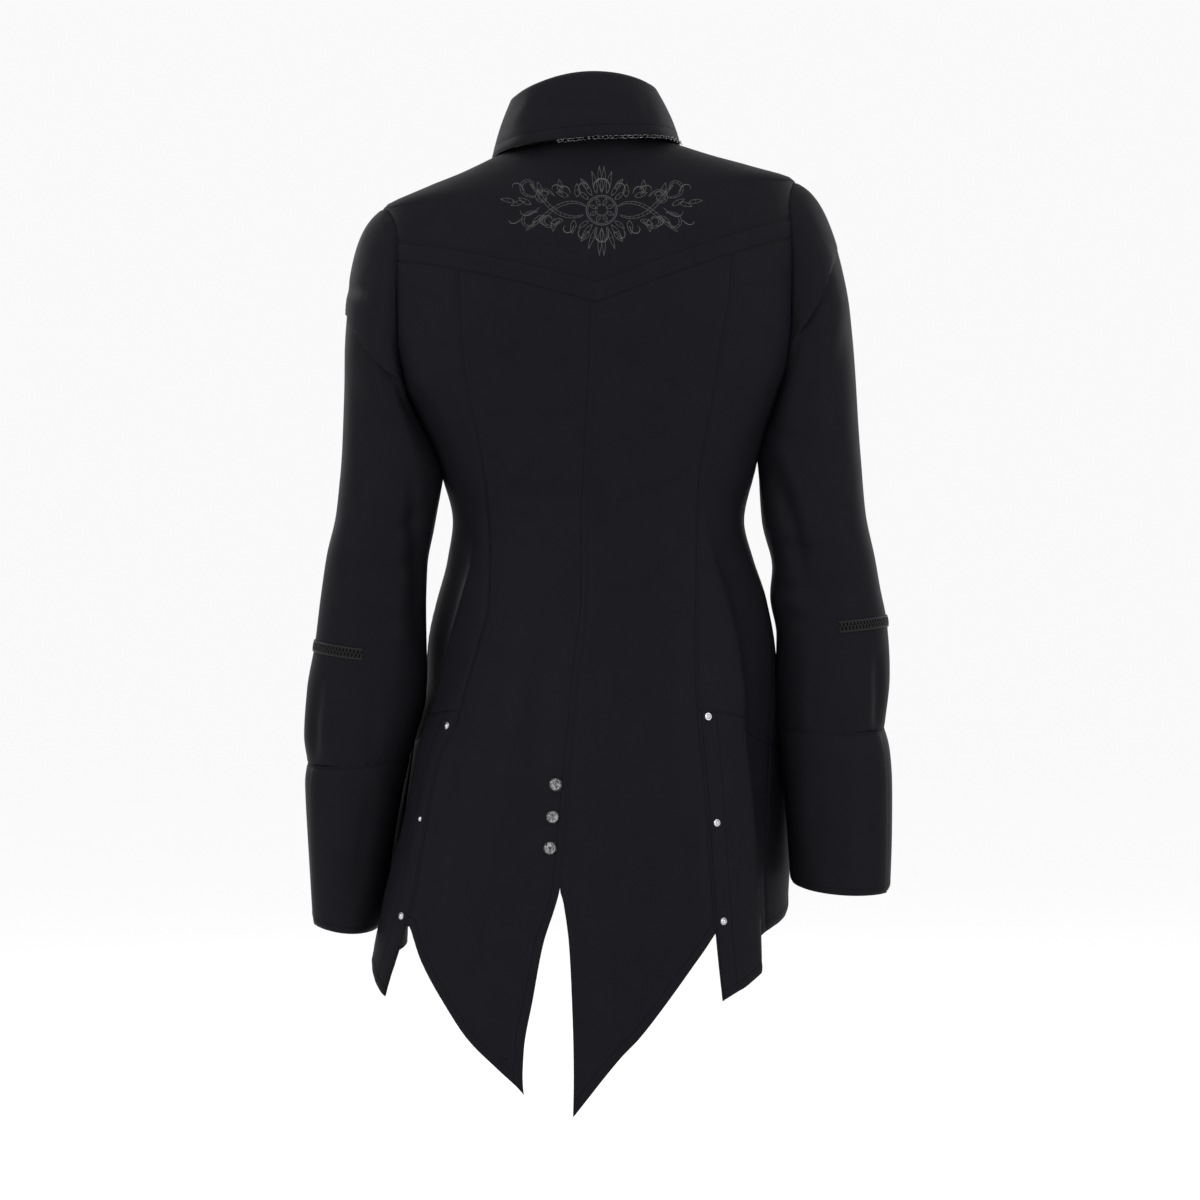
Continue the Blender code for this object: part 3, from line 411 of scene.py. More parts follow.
def turn_where(inside: Curve, low: Array, high: Array) -> Array:
    """The turn between two bounds where a rising measure passes nought, by halving."""
    for _ in range(HALVINGS):
        middle = (low + high) / 2
        below = inside(middle) < 0
        low, high = np.where(below, middle, low), np.where(below, high, middle)
    return (low + high) / 2


def level_at(x: Array, z: Array, rounds: int = 6) -> Array:
    """The level that the stance brings to a height z at x, nearer with each round."""
    level = z
    for _ in range(rounds):
        level = z + STANCE.of("slope", level) * x
    return level


def turn_and_level_at(x: Array, z: Array) -> tuple[Array, Array]:
    """The turn and level of the back of the body at given x and z, by halving."""
    level = level_at(x, z, rounds=5)
    low, high = np.full_like(level, -BACK_REACH), np.full_like(level, BACK_REACH)
    turn = turn_where(lambda t: body(t, level)[..., 0] - x, low, high)
    return turn, level


# ---- seams and lines


def seam_through(turns: Array) -> Curve:
    """A seam as a function of the level, from its turn at every level."""
    return lambda level: np.interp(level, SEAM_LEVELS, turns)


def back_seam(name: str) -> Curve:
    """A back seam: the turn at which the surface has the table's x, at each level."""
    x, start = BACK_SEAMS.of(name, SEAM_LEVELS), np.zeros_like(SEAM_LEVELS)
    low, high = start - BACK_REACH, start + BACK_REACH
    turns = turn_where(lambda t: body(t, SEAM_LEVELS)[..., 0] - x, low, high)
    return seam_through(turns)


def armhole(sign: int, front: bool) -> Curve:
    """The armhole's back or front edge, a squared oval in y and level, and the side seam beyond.

    Args:
        sign: 1 on the garment's left, -1 on the right.
        front: whether it is the front edge.

    Returns:
        The edge's turn at each level.
    """
    middle, half = (SHOULDER_POINT + ARMPIT) / 2, (SHOULDER_POINT - ARMPIT) / 2
    high = np.clip(np.abs(SEAM_LEVELS - middle) / half, 0, 1)
    shape = (1 - high**ARMHOLE_SQUARE) ** (1 / ARMHOLE_SQUARE)
    side = np.full_like(SEAM_LEVELS, SIDE_SEAM)
    before, behind = side + ARMHOLE_REACH, side - ARMHOLE_REACH
    if front:
        found = turn_where(
            lambda t: -section(t, SEAM_LEVELS)[1] - ARMHOLE_FRONT * shape, side, before
        )
    else:
        found = turn_where(
            lambda t: ARMHOLE_BACK * shape - section(t, SEAM_LEVELS)[1], behind, side
        )
    return seam_through(sign * np.where(high >= 1, SIDE_SEAM, found))


def moved(curve: Curve, across: float) -> Curve:
    """A seam moved sideways by so many millimetres round the body."""

    def turn(level: Array) -> Array:
        """The moved seam's turn at a level."""
        at = curve(level)
        reach = np.hypot(*section(at, np.asarray(level, float)))
        return at + np.degrees(across / reach)

    return turn


def at_turn(value: float) -> Curve:
    """A straight upright seam."""
    return lambda level: np.full_like(np.asarray(level, float), value)


def at_level(level: float) -> Curve:
    """A level line round the body."""
    return lambda turn: np.full_like(turn, level)


def raised(line: Curve, by: float) -> Curve:
    """A line moved up."""
    return lambda turn: line(turn) + by


def table_line(table: Table, column: str = "level") -> Curve:
    """A line whose level a table gives by the turn from the centre back."""
    return lambda turn: table.of(column, np.abs(turn))


def by_x(height: Curve) -> Curve:
    """A line whose level depends on x, found on the surface by a few rounds."""

    def level(turn: Array) -> Array:
        """The line's level at a turn."""
        found = np.full_like(turn, YOKE_GUESS if height(0.0) > WAIST else HEM_GUESS)
        for _ in range(LINE_ROUNDS):
            found = height(body(turn, found)[..., 0])
        return found

    return level


def v_line(centre: float, side: float) -> Curve:
    """A shallow V, steepest at the centre back: a power of the distance from the armhole."""
    middle = float(BACK_SEAMS.of("vent_left", centre))

    def height(x: Array) -> Array:
        """The V's level at x."""
        part = np.clip(np.abs(x - middle) / V_REACH, 0, 1)
        return centre + (side - centre) * (1 - (1 - part) ** V_BOW)

    return by_x(height)


def neckline(turn: Array) -> Array:
    """High and level round the back, then dropping by a power curve to the centre front."""
    turn = np.abs(turn)
    behind = NECK_SIDE + (NECK_BACK - NECK_SIDE) * np.cos(np.radians(np.minimum(turn, 90))) ** 2
    before = np.clip((turn - 90) / 90, 0, 1) ** NECK_POWER
    return behind + (NECK_FRONT - NECK_SIDE) * before


def front_row(turn: Array) -> Array:
    """From the shoulder point, sinking as a square below the neckline to the centre front."""
    return SHOULDER_POINT - FRONT_ROW_SINK * ((np.abs(turn) - 90) / 90) ** 2


def crowded(length: float, start: bool, end: bool, pitch: float = PITCH) -> Array:
    """Steps from 0 to 1, a pitch apart, with closer ones near the chosen ends.

    Args:
        length: of the way that they divide, in millimetres.
        start: whether the start is an edge of the cloth.
        end: whether the end is one.
        pitch: between two steps.

    Returns:
        The steps, rising.
    """
    steps = np.linspace(0, 1, max(2, round(length / pitch)) + 1)
    near = np.array(EDGE_ROWS) / length
    clear = EDGE_CLEAR * near[-1]
    if start:
        steps = np.concatenate([[0], near, steps[steps > clear]])
    if end:
        steps = np.concatenate([steps[steps < 1 - clear], (1 - near)[::-1], [1]])
    return steps


# ---- meshes


class Mesh:
    """Points in millimetres and faces, gathered into one object."""

    def __init__(self) -> None:
        """Starts with nothing."""
        self.points: list[Array] = []
        self.faces: list[list[int]] = []
        self.pattern: list[Array] = []
        self.count = 0

    def add(self, points: Array, faces: Sequence[Array], pattern: Array | None = None) -> None:
        """Adds a surface.

        Args:
            points: its points, in an array whose last axis is x, y, z.
            faces: arrays of equal-sided faces, as indices of these points.
            pattern: u and v of each corner, face by face, in metres.
        """
        points = points.reshape(-1, 3)
        for block in faces:
            self.faces += (block + self.count).tolist()
            if pattern is None:
                self.pattern.append(np.zeros((block.size, 2)))
        if pattern is not None:
            self.pattern.append(pattern.reshape(-1, 2))
        self.points.append(points)
        self.count += len(points)

    def build(self, name: str, material: Material, sharp: float = 50) -> Thing:
        """Makes the object, at the origin.

        Args:
            name: of the object and its mesh.
            material: its one material.
            sharp: degrees past which an edge stays sharp.

        Returns:
            The new object.
        """
        mesh = bpy.data.meshes.new(name)
        mesh.from_pydata((np.concatenate(self.points) * MM).tolist(), [], self.faces)
        layer = mesh.uv_layers.new(name="cloth")
        layer.uv.foreach_set("vector", np.concatenate(self.pattern).ravel().astype(np.float32))
        mesh.materials.append(material)
        mesh.shade_smooth()
        mesh.set_sharp_from_angle(angle=math.radians(sharp))
        mesh.update()
        thing = bpy.data.objects.new(name, mesh)
        bpy.context.scene.collection.objects.link(thing)
        log.info("%s: %d points, %d faces", name, self.count, len(self.faces))
        return thing


SQUARE_STEPS = ((0, 0), (0, 1), (1, 1), (1, 0))  # round a cell of the grid
RIM_STEPS = ((0, 1), (1, 1), (1, 0), (0, 0))  # along an edge, and from layer to layer


def cells(rows: int, columns: int) -> tuple[Array, Array]:
    """The row and the column of every cell of a grid, row by row."""
    r, c = np.meshgrid(np.arange(rows), np.arange(columns), indexing="ij")
    return r.ravel(), c.ravel()


def shell_corners(rows: int, columns: int, closed: bool) -> Array:
    """Corners of the faces of two grids, one over the other, and of the rims that join them.

    Args:
        rows: of points in each grid.
        columns: of points in each grid.
        closed: whether the last column joins the first.

    Returns:
        An array of faces by four corners by row, column and layer; the outer layer is 1.
    """
    wide = columns + closed
    r, c = cells(rows - 1, wide - 1)
    square = np.stack([np.stack([r + a, c + b], -1) for a, b in SQUARE_STEPS], 1)
    layer = np.ones((*square.shape[:2], 1), int)
    outer = np.concatenate([square, layer], -1)
    inner = np.concatenate([square[:, ::-1], 0 * layer], -1)
    parts = [outer, inner]
    c = np.arange(wide - 1)
    for row, flip in ((0, True), (rows - 1, False)):
        r = np.full_like(c, row)
        rim = np.stack([np.stack([r, c + a, 0 * c + b], -1) for a, b in RIM_STEPS], 1)
        parts.append(rim[:, ::-1] if flip else rim)
    r = np.arange(rows - 1)
    for column, flip in () if closed else ((0, False), (columns - 1, True)):
        c = np.full_like(r, column)
        rim = np.stack([np.stack([r + a, c, 0 * r + b], -1) for a, b in RIM_STEPS], 1)
        parts.append(rim[:, ::-1] if flip else rim)
    return np.concatenate(parts)


def quads_volume(points: Array, quads: Array) -> float:
    """Six times the volume inside a closed surface of quads; negative when it is inside out."""
    a, b, c, d = (points[quads[:, k]] for k in range(4))
    return float(np.sum(a * (np.cross(b, c) + np.cross(c, d))))


def strands(
    path: Array, out: Array, wide: Array, high: Array, sides: int, loop: bool = False
) -> tuple[Array, list[Array]]:
    """Threads of oval section: each point of a path carries a ring of across*cos and out*sin.

    Args:
        path: points of the middle lines, strands by points by 3.
        out: the way out of the surface that they lie on, of the same shape.
        wide: half of the section's width at each point.
        high: half of its height.
        sides: points of a ring.
        loop: whether each strand joins its own start.

    Returns:
        The points, and the faces as arrays.
    """
    count, length = path.shape[:2]
    if loop:
        along = np.roll(path, -1, axis=1) - np.roll(path, 1, axis=1)
    else:
        along = np.gradient(path, axis=1)
    across = unit(np.cross(out, along))
    up = unit(np.cross(along, across))
    angle = np.arange(sides) * TAU / sides
    wide = np.broadcast_to(wide, path.shape[:2])[..., None, None]
    high = np.broadcast_to(high, path.shape[:2])[..., None, None]
    sideways = across[:, :, None] * wide * np.cos(angle)[:, None]
    upwards = up[:, :, None] * high * np.sin(angle)[:, None]
    points = path[:, :, None] + (sideways + upwards)
    r, k = cells(length - (not loop), sides)
    ring, following, beside = r * sides, (r + 1) % length * sides, (k + 1) % sides
    one = np.stack([ring + k, ring + beside, following + beside, following + k], -1)
    start = np.arange(count)[:, None, None] * length * sides
    faces = [(one[None] + start).reshape(-1, 4)]
    if not loop:
        ends = np.stack([np.arange(sides)[::-1], (length - 1) * sides + np.arange(sides)])
        faces.append((ends[None] + start).reshape(-1, sides))
    return points, faces


def resampled(path: Array, pitch: float) -> tuple[Array, Array]:
    """Points a pitch apart along a polyline, and the way along it at each.

    Args:
        path: the polyline's points, with any columns beyond x, y, z carried along.
        pitch: the distance between two points.

    Returns:
        The rows at the new points, and the distance of each from the start.
    """
    way = np.concatenate([[0], np.cumsum(np.linalg.norm(np.diff(path[:, :3], axis=0), axis=1))])
    at = np.arange(pitch / 2, way[-1], pitch)
    return np.stack([np.interp(at, way, column) for column in path.T], -1), at


# ---- cloth


class Side(Enum):
    """The four edges of a piece of cloth's grid."""

    TOP = "first row"
    BOTTOM = "last row"
    START = "first column"
    END = "last column"


class Face(Enum):
    """Which way a crease's cloth faces."""

    BACK = 1
    FRONT = -1


@dataclass(frozen=True)
class Edge:
    """How an edge is finished: rows of topstitching at these distances, and a hem's width."""

    stitched: tuple[float, ...] = ()
    hem: float = 0.0
    pucker: float = 0.16
    roll: float = ROLL_IN


@dataclass(frozen=True)
class Crease:
    """A soft trough or ridge along a line of x and z."""

    path: tuple[tuple[float, float], ...]
    width: float
    depth: float
    face: Face = Face.BACK
    lap: float = 0.0  # how far the cloth on the left of the line stands over the rest

    def moves(self, points: Array, outward: Array) -> Array:
        """How the crease moves points.

        A bell across the line, with a wider and lower bell taken off, tapering to its ends. A
        lap adds a steep step at the line and a bell's half beyond it, drawn over the line.

        Args:
            points: places on the cloth.
            outward: the way out at each.

        Returns:
            The move of each, in millimetres.
        """
        line = np.array(self.path)
        knots = np.linspace(0, 1, len(line))
        t = np.linspace(0, 1, CREASE_POINTS)
        line = np.stack([monotone_cubic(knots, column, t) for column in line.T], -1)
        flat = points[..., (0, 2)].reshape(-1, 1, 2)
        away = np.linalg.norm(flat - line, axis=-1)
        nearest = away.argmin(axis=1)
        away = away[np.arange(len(away)), nearest]
        part = np.clip(TAPER_START + TAPER_SPAN * t[nearest], 0, 1)
        taper = np.sin(math.pi * part) ** TAPER_POWER
        dip = DIP_SHARE * np.exp(-((away / (DIP_WIDTH * self.width)) ** 2))
        bell = np.exp(-((away / self.width) ** 2)) - dip
        outward = outward.reshape(-1, 3)
        facing = smooth_step(FACING_FROM, FACING_AT, self.face.value * outward[:, 1])
        total = outward * (CREASE_DEPTH * self.depth * bell * taper * facing)[:, None]
        if self.lap:
            way, off = unit(np.gradient(line, axis=0))[nearest], flat[:, 0] - line[nearest]
            aside = way[:, 0] * off[:, 1] - way[:, 1] * off[:, 0]
            over = np.exp(-((away / (LAP_REACH * self.width)) ** 2)) * taper * facing
            over = over * smooth_step(-LAP_EDGE, LAP_EDGE, aside) * self.lap
            below = np.stack([way[:, 1], 0 * aside, -way[:, 0]], axis=-1)
            below = below - outward * np.sum(below * outward, axis=-1, keepdims=True)
            total = total + (outward + LAP_DRAG * below) * over[:, None]
        return total.reshape(points.shape)


def creases(face: Face, *rows: tuple[object, ...]) -> tuple[Crease, ...]:
    """Creases of one face, from rows of path, width, depth and, where it has one, lap."""
    return tuple(Crease(*row[:3], face, *row[3:]) for row in rows)


RIPPLES = ((130.0, 0.5), (74.0, 0.3), (43.0, 0.16))  # wavelength and height of the cloth's unrest
RIPPLE_SEED, RIPPLE_WAVES, RIPPLE_SPREAD = 20, 3, (1, 1, 0.6)


def ripple(points: Array) -> Array:
    """The cloth's slight unrest: the sum of sine waves that cross it in random directions."""
    rng = np.random.default_rng(RIPPLE_SEED)
    total = np.zeros(points.shape[:-1])
    for wavelength, height in RIPPLES:
        for _ in range(RIPPLE_WAVES):
            direction = unit(rng.normal(size=3) * RIPPLE_SPREAD)
            phase = TAU * (points @ direction) / wavelength + rng.uniform(0, TAU)
            total += height / 2 * np.sin(phase)
    return total


@dataclass
class Cloth:
    """A piece of cloth: a grid of points on its inside, given thickness, edges and creases."""

    name: str
    base: Array
    outward: Array
    wall: float = WALL
    closed: bool = False
    edges: dict[Side, Edge] = field(default_factory=dict)
    creases: Sequence[Crease] = ()
    calm: float = 1.0
    free: Array | float = 1.0

    def __post_init__(self) -> None:
        """Measures the way across and down the grid, and works out both layers."""
        wrapped = np.concatenate([self.base, self.base[:, :1]], axis=1) if self.closed else self.base
        self.across = self._way(wrapped, 1)
        self.down = self._way(wrapped, 0)
        self.inner = self.base + self._moves()
        self.outer = self.inner + self.outward * self._thickness()[..., None]

    @staticmethod
    def _way(points: Array, axis: int) -> Array:
        """The distance travelled along one axis of a grid."""
        steps = np.linalg.norm(np.diff(points, axis=axis), axis=-1)
        start = np.zeros_like(np.take(steps, [0], axis=axis))
        return np.cumsum(np.concatenate([start, steps], axis=axis), axis=axis)

    def away(self, side: Side) -> Array:
        """The distance of each point from one edge, measured square to that edge."""
        columns = self.base.shape[1]
        across, down = self.across[:, :columns], self.down[:, :columns]
        k, step = (0, 1) if side in (Side.START, Side.TOP) else (-1, -1)
        if side in (Side.START, Side.END):
            far = across if side is Side.START else across[:, -1:] - across
            line, beside = self.base[:, k], self.base[:, k + step]
        else:
            far = down if side is Side.TOP else down[-1:] - down
            line, beside = self.base[k], self.base[k + step]
        along, inwards = unit(np.gradient(line, axis=0)), unit(beside - line)
        square = np.linalg.norm(np.cross(along, inwards), axis=-1)
        return far * (square[:, None] if side in (Side.START, Side.END) else square[None, :])

    def _moves(self) -> Array:
        """How both layers move: creases, unrest and the puckers along stitched edges."""
        total = self.outward * (ripple(self.base) * self.calm)[..., None]
        for crease in self.creases:
            total = total + crease.moves(self.base, self.outward)
        total = total * self.free
        way = self.base[..., 0] + self.base[..., 2] + PUCKER_LEAN * self.base[..., 1]
        wave = np.sin(TAU * way / PUCKER_PITCH)
        for side, edge in self.edges.items():
            near = np.exp(-((self.away(side) / PUCKER_REACH) ** 2))
            total = total + self.outward * (edge.pucker * wave * near)[..., None]
        return total

    def _thickness(self) -> Array:
        """The wall, thinner where an edge rolls in, thicker along hems, grooved at stitches."""
        sides = (Side.TOP, Side.BOTTOM) if self.closed else tuple(Side)
        share = np.ones(self.base.shape[:2])
        extra = np.zeros_like(share)
        for side in sides:
            far = self.away(side)
            edge = self.edges.get(side, Edge())
            share = np.minimum(share, 1 - edge.roll * np.exp(-((far / ROLL_REACH) ** 2)))
            if edge.hem:
                low, high = edge.hem - HEM_INSIDE, edge.hem + HEM_OUTSIDE
                extra = np.maximum(extra, HEM_RISE * (1 - smooth_step(low, high, far)))
            for distance in edge.stitched:
                extra = extra - GROOVE * np.exp(-(((far - distance) / GROOVE_REACH) ** 2))
        return self.wall * share + extra

    def beside(self, side: Side, distance: float) -> Array:
        """The line on the outside at a distance from an edge, between the points either side.

        Args:
            side: the edge that it follows.
            distance: how far in it runs.

        Returns:
            Rows of x, y, z and the way out there.
        """
        far = self.away(side)
        data = np.concatenate([self.outer, self.outward], axis=-1)
        if side in (Side.TOP, Side.BOTTOM):
            far, data = far.T, data.transpose(1, 0, 2)
        if side in (Side.BOTTOM, Side.END):
            far, data = far[:, ::-1], data[:, ::-1]
        k = np.clip((far >= distance).argmax(axis=1), 1, far.shape[1] - 1)
        row = np.arange(len(k))
        low, high = far[row, k - 1], far[row, k]
        t = np.clip((distance - low) / np.maximum(high - low, TINY), 0, 1)[:, None]
        return data[row, k - 1] * (1 - t) + data[row, k] * t

    def stitch_lines(self) -> list[Array]:
        """Every line of topstitching on this piece."""
        return [self.beside(side, far) for side, edge in self.edges.items() for far in edge.stitched]

    def flat_size(self) -> tuple[float, float, float]:
        """The cut's width, length and area, in metres, from the un-creased surface."""
        width, length = float(self.across[:, -1].max()), float(self.down[-1].max())
        grid = np.concatenate([self.base, self.base[:, :1]], axis=1) if self.closed else self.base
        one = np.cross(grid[1:, 1:] - grid[:-1, :-1], grid[1:, :-1] - grid[:-1, 1:])
        area = float(np.linalg.norm(one, axis=-1).sum()) / 2
        return width * MM, length * MM, min(area * MM * MM, width * length * MM * MM)

    def build(self, material: Material) -> Thing:
        """Makes the closed shell, with the cloth's own width and length as its pattern.

        Args:
            material: the cloth's finish.

        Returns:
            The new object.
        """
        rows, columns = self.base.shape[:2]
        corners = shell_corners(rows, columns, self.closed)
        r, c, layer = corners[..., 0], corners[..., 1], corners[..., 2]
        quads = layer * rows * columns + r * columns + c % columns
        points = np.concatenate([self.inner.reshape(-1, 3), self.outer.reshape(-1, 3)])
        pattern = np.stack([self.across[r, c], self.down[r, c]], -1) * MM
        if quads_volume(points, quads) < 0:
            quads, pattern = quads[:, ::-1], pattern[:, ::-1]
        mesh = Mesh()
        mesh.add(points, [quads], pattern)
        return mesh.build(self.name, material)


def stitches(lines: Sequence[Array]) -> Mesh:
    """Topstitching: every pitch a short thread that dips into the cloth at both ends.

    Args:
        lines: rows of x, y, z and the way out.

    Returns:
        One mesh of all the stitches.
    """
    mesh = Mesh()
    for line in lines:
        at, _ = resampled(line, STITCH_PITCH)
        if len(at) < 2:
            continue
        along, out = unit(np.gradient(at[:, :3], axis=0)), unit(at[:, 3:])
        place = np.array(STITCH_PLACES)[None, :, None] * STITCH_LONG
        lift = np.array(STITCH_LIFTS)[None, :, None]
        path = at[:, None, :3] + along[:, None] * place + out[:, None] * lift
        swell, out = np.array(STITCH_SWELL) * STITCH_HALF, np.broadcast_to(out[:, None], path.shape)
        mesh.add(*strands(path, out, swell, swell, STITCH_SIDES))
    return mesh


# ---- shaders


class Value:
    """One number's socket in a shader; sums and products of it add their Math nodes."""

    def __init__(self, graph: "Graph", socket: Socket) -> None:
        """Wraps an output socket."""
        self.graph, self.socket = graph, socket

    def _with(self, operation: str, first: object, second: object) -> "Value":
        """A Math node of two operands."""
        node = self.graph.node("ShaderNodeMath", {"operation": operation}, {0: first, 1: second})
        return Value(self.graph, node.outputs[0])

    def __add__(self, other: object) -> "Value":
        """The sum."""
        return self._with("ADD", self, other)

    def __sub__(self, other: object) -> "Value":
        """The difference."""
        return self._with("SUBTRACT", self, other)

    def __rsub__(self, other: object) -> "Value":
        """The difference, the other way round."""
        return self._with("SUBTRACT", other, self)

    def __mul__(self, other: object) -> "Value":
        """The product."""
        return self._with("MULTIPLY", self, other)

    __radd__, __rmul__ = __add__, __mul__

    def sine(self) -> "Value":
        """The sine."""
        return self._with("SINE", self, 0.0)

    def waves(self, pitch: float) -> "Value":
        """A sine wave from 0 to 1, with a crest every so many millimetres."""
        return (self * (TAU / (pitch * MM))).sine() * 0.5 + 0.5

    def between(self, low: float, high: float) -> "Value":
        """0 below low and 1 above high, straight between."""
        node = self.graph.node("ShaderNodeMapRange", {"clamp": True}, {0: self, 1: low, 2: high})
        return Value(self.graph, node.outputs[0])


class Graph:
    """The nodes of one material, around its Principled BSDF."""

    def __init__(self, name: str) -> None:
        """Makes an empty material with its shader."""
        self.material = bpy.data.materials.new(name)
        self.material.use_nodes = True
        self.tree = self.material.node_tree
        self.shader = self.tree.nodes["Principled BSDF"]

    def node(
        self, kind: str, settings: dict[str, object], inputs: dict[object, object]
    ) -> bpy.types.Node:
        """Adds a node.

        Args:
            kind: its type's name.
            settings: its properties, such as a Math node's operation, set first.
            inputs: values or links of its sockets, by name or number.

        Returns:
            The node.
        """
        node = self.tree.nodes.new(kind)
        for key, value in settings.items():
            setattr(node, key, value)
        for key, value in inputs.items():
            self.put(node.inputs[key], value)
        return node

    def put(self, socket: Socket, value: object) -> None:
        """Links or sets one input socket."""
        if isinstance(value, Value):
            self.tree.links.new(value.socket, socket)
        elif isinstance(value, Socket):
            self.tree.links.new(value, socket)
        else:
            socket.default_value = value

    def dress(self, **sockets: object) -> None:
        """Sets the shader's sockets; underscores in their names stand for blanks."""
        for key, value in sockets.items():
            self.put(self.shader.inputs[key.replace("_", " ")], value)

    def pattern(self) -> tuple[Value, Value]:
        """u and v of the piece's own pattern, in metres."""
        uv = self.node("ShaderNodeUVMap", {"uv_map": "cloth"}, {})
        parts = self.node("ShaderNodeSeparateXYZ", {}, {0: uv.outputs[0]})
        return Value(self, parts.outputs[0]), Value(self, parts.outputs[1])

    def place(self) -> Socket:
        """The point in the object's own coordinates, in metres."""
        return self.node("ShaderNodeTexCoord", {}, {}).outputs["Object"]

    def noise(self, size: float, detail: float = 3.0) -> Value:
        """Noise of the given size in millimetres, from 0 to 1."""
        node = self.node(
            "ShaderNodeTexNoise",
            {},
            {"Vector": self.place(), "Scale": 1 / (size * MM), "Detail": detail},
        )
        return Value(self, node.outputs[0])

    def mix(self, share: Value, low: Colour, high: Colour) -> Socket:
        """A colour between two, by a share."""
        inputs = {0: share, 6: (*low, 1), 7: (*high, 1)}
        return self.node("ShaderNodeMix", {"data_type": "RGBA"}, inputs).outputs[2]

    def bump(self, height: Value, far: float) -> Socket:
        """Normals from a height of 0 to 1 that stands for so many millimetres."""
        inputs = {"Strength": 1.0, "Distance": far * MM, "Height": height}
        return self.node("ShaderNodeBump", {}, inputs).outputs[0]


@dataclass(frozen=True)
class SatinCloth:
    """Black stretch satin: a fine twill under a smooth face, with a faint sheen."""

    low: Colour = (0.0058, 0.0056, 0.0074)
    high: Colour = (0.0088, 0.0085, 0.0110)
    twill: float = 0.55  # pitch of its lines, in millimetres
    weft: float = 0.8  # pitch of the lines across it, as a share
    mottle: float = 26.0
    grain: float = 1.6
    rough: tuple[float, float] = (0.44, 0.56)
    sheen: float = 0.03
    relief: float = 0.03

    def material(self) -> Material:
        """The cloth: sine twill of u and v as a bump, and mottled colour and roughness."""
        graph = Graph("black_satin")
        u, v = graph.pattern()
        line = (u + v * 0.7).waves(self.twill)
        thread = (v - u * 0.4).waves(self.weft * self.twill)
        soft = graph.noise(self.mottle, 2)
        fine = graph.noise(self.grain, 2)
        graph.dress(
            Base_Color=graph.mix(soft * 0.6 + fine * 0.4, self.low, self.high),
            Roughness=soft * (self.rough[1] - self.rough[0]) + self.rough[0],
            Specular_IOR_Level=self.sheen,
            Normal=graph.bump(line * 0.6 + thread * 0.2 + fine * 0.5, self.relief),
        )
        return graph.material


@dataclass(frozen=True)
class TwistedThread:
    """Thread of one grey, with the twist's slanting lines, painted shade between them and painted
    highlight on them.
    """

    name: str
    grey: float
    rough: float
    twist: float = 0.5  # pitch of its lines, in millimetres
    shine: float = 0.35
    grain: float = 0.7
    relief: float = 0.06
    # dark and light: painted shade between the twist's ridges and painted highlight on them, as shares
    # of the grey
    dark: float = 0.6  # of the grey, between the ridges
    light: float = 1.3  # of the grey, on them

    def material(self) -> Material:
        """The thread: slanting ridges from the object's own place, with painted shade between them and
        painted highlight on them.
        """
        graph = Graph(self.name)
        parts = graph.node("ShaderNodeSeparateXYZ", {}, {0: graph.place()})
        x, z = Value(graph, parts.outputs[0]), Value(graph, parts.outputs[2])
        ridge = (x + z * 0.8).waves(self.twist)
        fine = graph.noise(self.grain, 2)
        # the colour follows the ridges, painted shade and highlight, mixed with random grain
        share = ridge * 0.5 + fine * 0.5
        dark, light = (self.grey * self.dark,) * 3, (self.grey * self.light,) * 3
        graph.dress(
            Base_Color=graph.mix(share, dark, light),
            Roughness=fine * 0.2 + self.rough,
            Specular_IOR_Level=self.shine,
            Normal=graph.bump(ridge, self.relief),
        )
        return graph.material


@dataclass(frozen=True)
class WornMetal:
    """White metal with dark patches of noise: wear where it is aged, and on the chain painted shade for
    the collar's shadow.
    """

    name: str
    bright: Colour
    dark: Colour
    rough: tuple[float, float]
    wear_and_shade: float
    patches: float = 1.8
    scratches: float = 0.35
    relief: float = 0.015

    def material(self) -> Material:
        """The metal: dark patches of noise and fine scratches in roughness."""
        graph = Graph(self.name)
        # dark patches of noise: wear on the buttons and studs, and painted shade for the collar's
        # shadow on the chain
        patch = graph.noise(self.patches, 4).between(0.5 - self.wear_and_shade / 2, 0.75)
        scratch = graph.noise(self.scratches, 2)
        graph.dress(
            Base_Color=graph.mix(patch, self.dark, self.bright),
            Roughness=scratch * (self.rough[1] - self.rough[0]) + self.rough[0],
            Metallic=1.0,
            Normal=graph.bump(scratch, self.relief),
        )
        return graph.material


@dataclass(frozen=True)
class PaleFloor:
    """The studio's plain pale floor."""

    grey: float = 0.97
    glow: float = 0.03  # what the floor's grey takes from the white of its surroundings

    def material(self) -> Material:
        """The floor: near white, with the faintest mottling."""
        graph = Graph("pale_floor")
        share = graph.noise(900, 2)
        low, high = (self.grey * 0.995,) * 3, (self.grey,) * 3
        graph.dress(
            Base_Color=graph.mix(share, low, high),
            Roughness=0.9,
            Specular_IOR_Level=0.0,
            Emission_Color=(1, 1, 1, 1),
            Emission_Strength=self.glow,
        )
        return graph.material


@dataclass
class Finishes:
    """Every finish of the blouse, made once."""

    cloth: Material
    thread: Material
    embroidery: Material
    braid: Material
    aged: Material
    chain: Material
    polished: Material

    @classmethod
    def make(cls) -> "Finishes":
        """Makes them all."""
        return cls(
            cloth=SatinCloth().material(),
            thread=TwistedThread("black_thread", 0.0022, 0.6, 0.5, 0.02).material(),
            embroidery=TwistedThread("embroidery_thread", 0.075, 0.3, 0.7).material(),
            braid=TwistedThread("braid_cord", 0.007, 0.4, 0.9, 0.2).material(),
            aged=WornMetal(
                "aged_metal_finish", (0.42, 0.42, 0.43), (0.02, 0.02, 0.022), (0.2, 0.4), 0.35
            ).material(),
            # the chain's dimmed silver and near-black patches are painted shade for the collar's shadow
            # over it
            chain=WornMetal(
                "chain_metal_painted_shade", (0.3, 0.3, 0.31), (0.008, 0.008, 0.009), (0.12, 0.25), 0.2
            ).material(),
            polished=WornMetal(
                "polished_metal_finish", (0.6, 0.6, 0.62), (0.3, 0.3, 0.32), (0.12, 0.24), 0.8
            ).material(),
        )


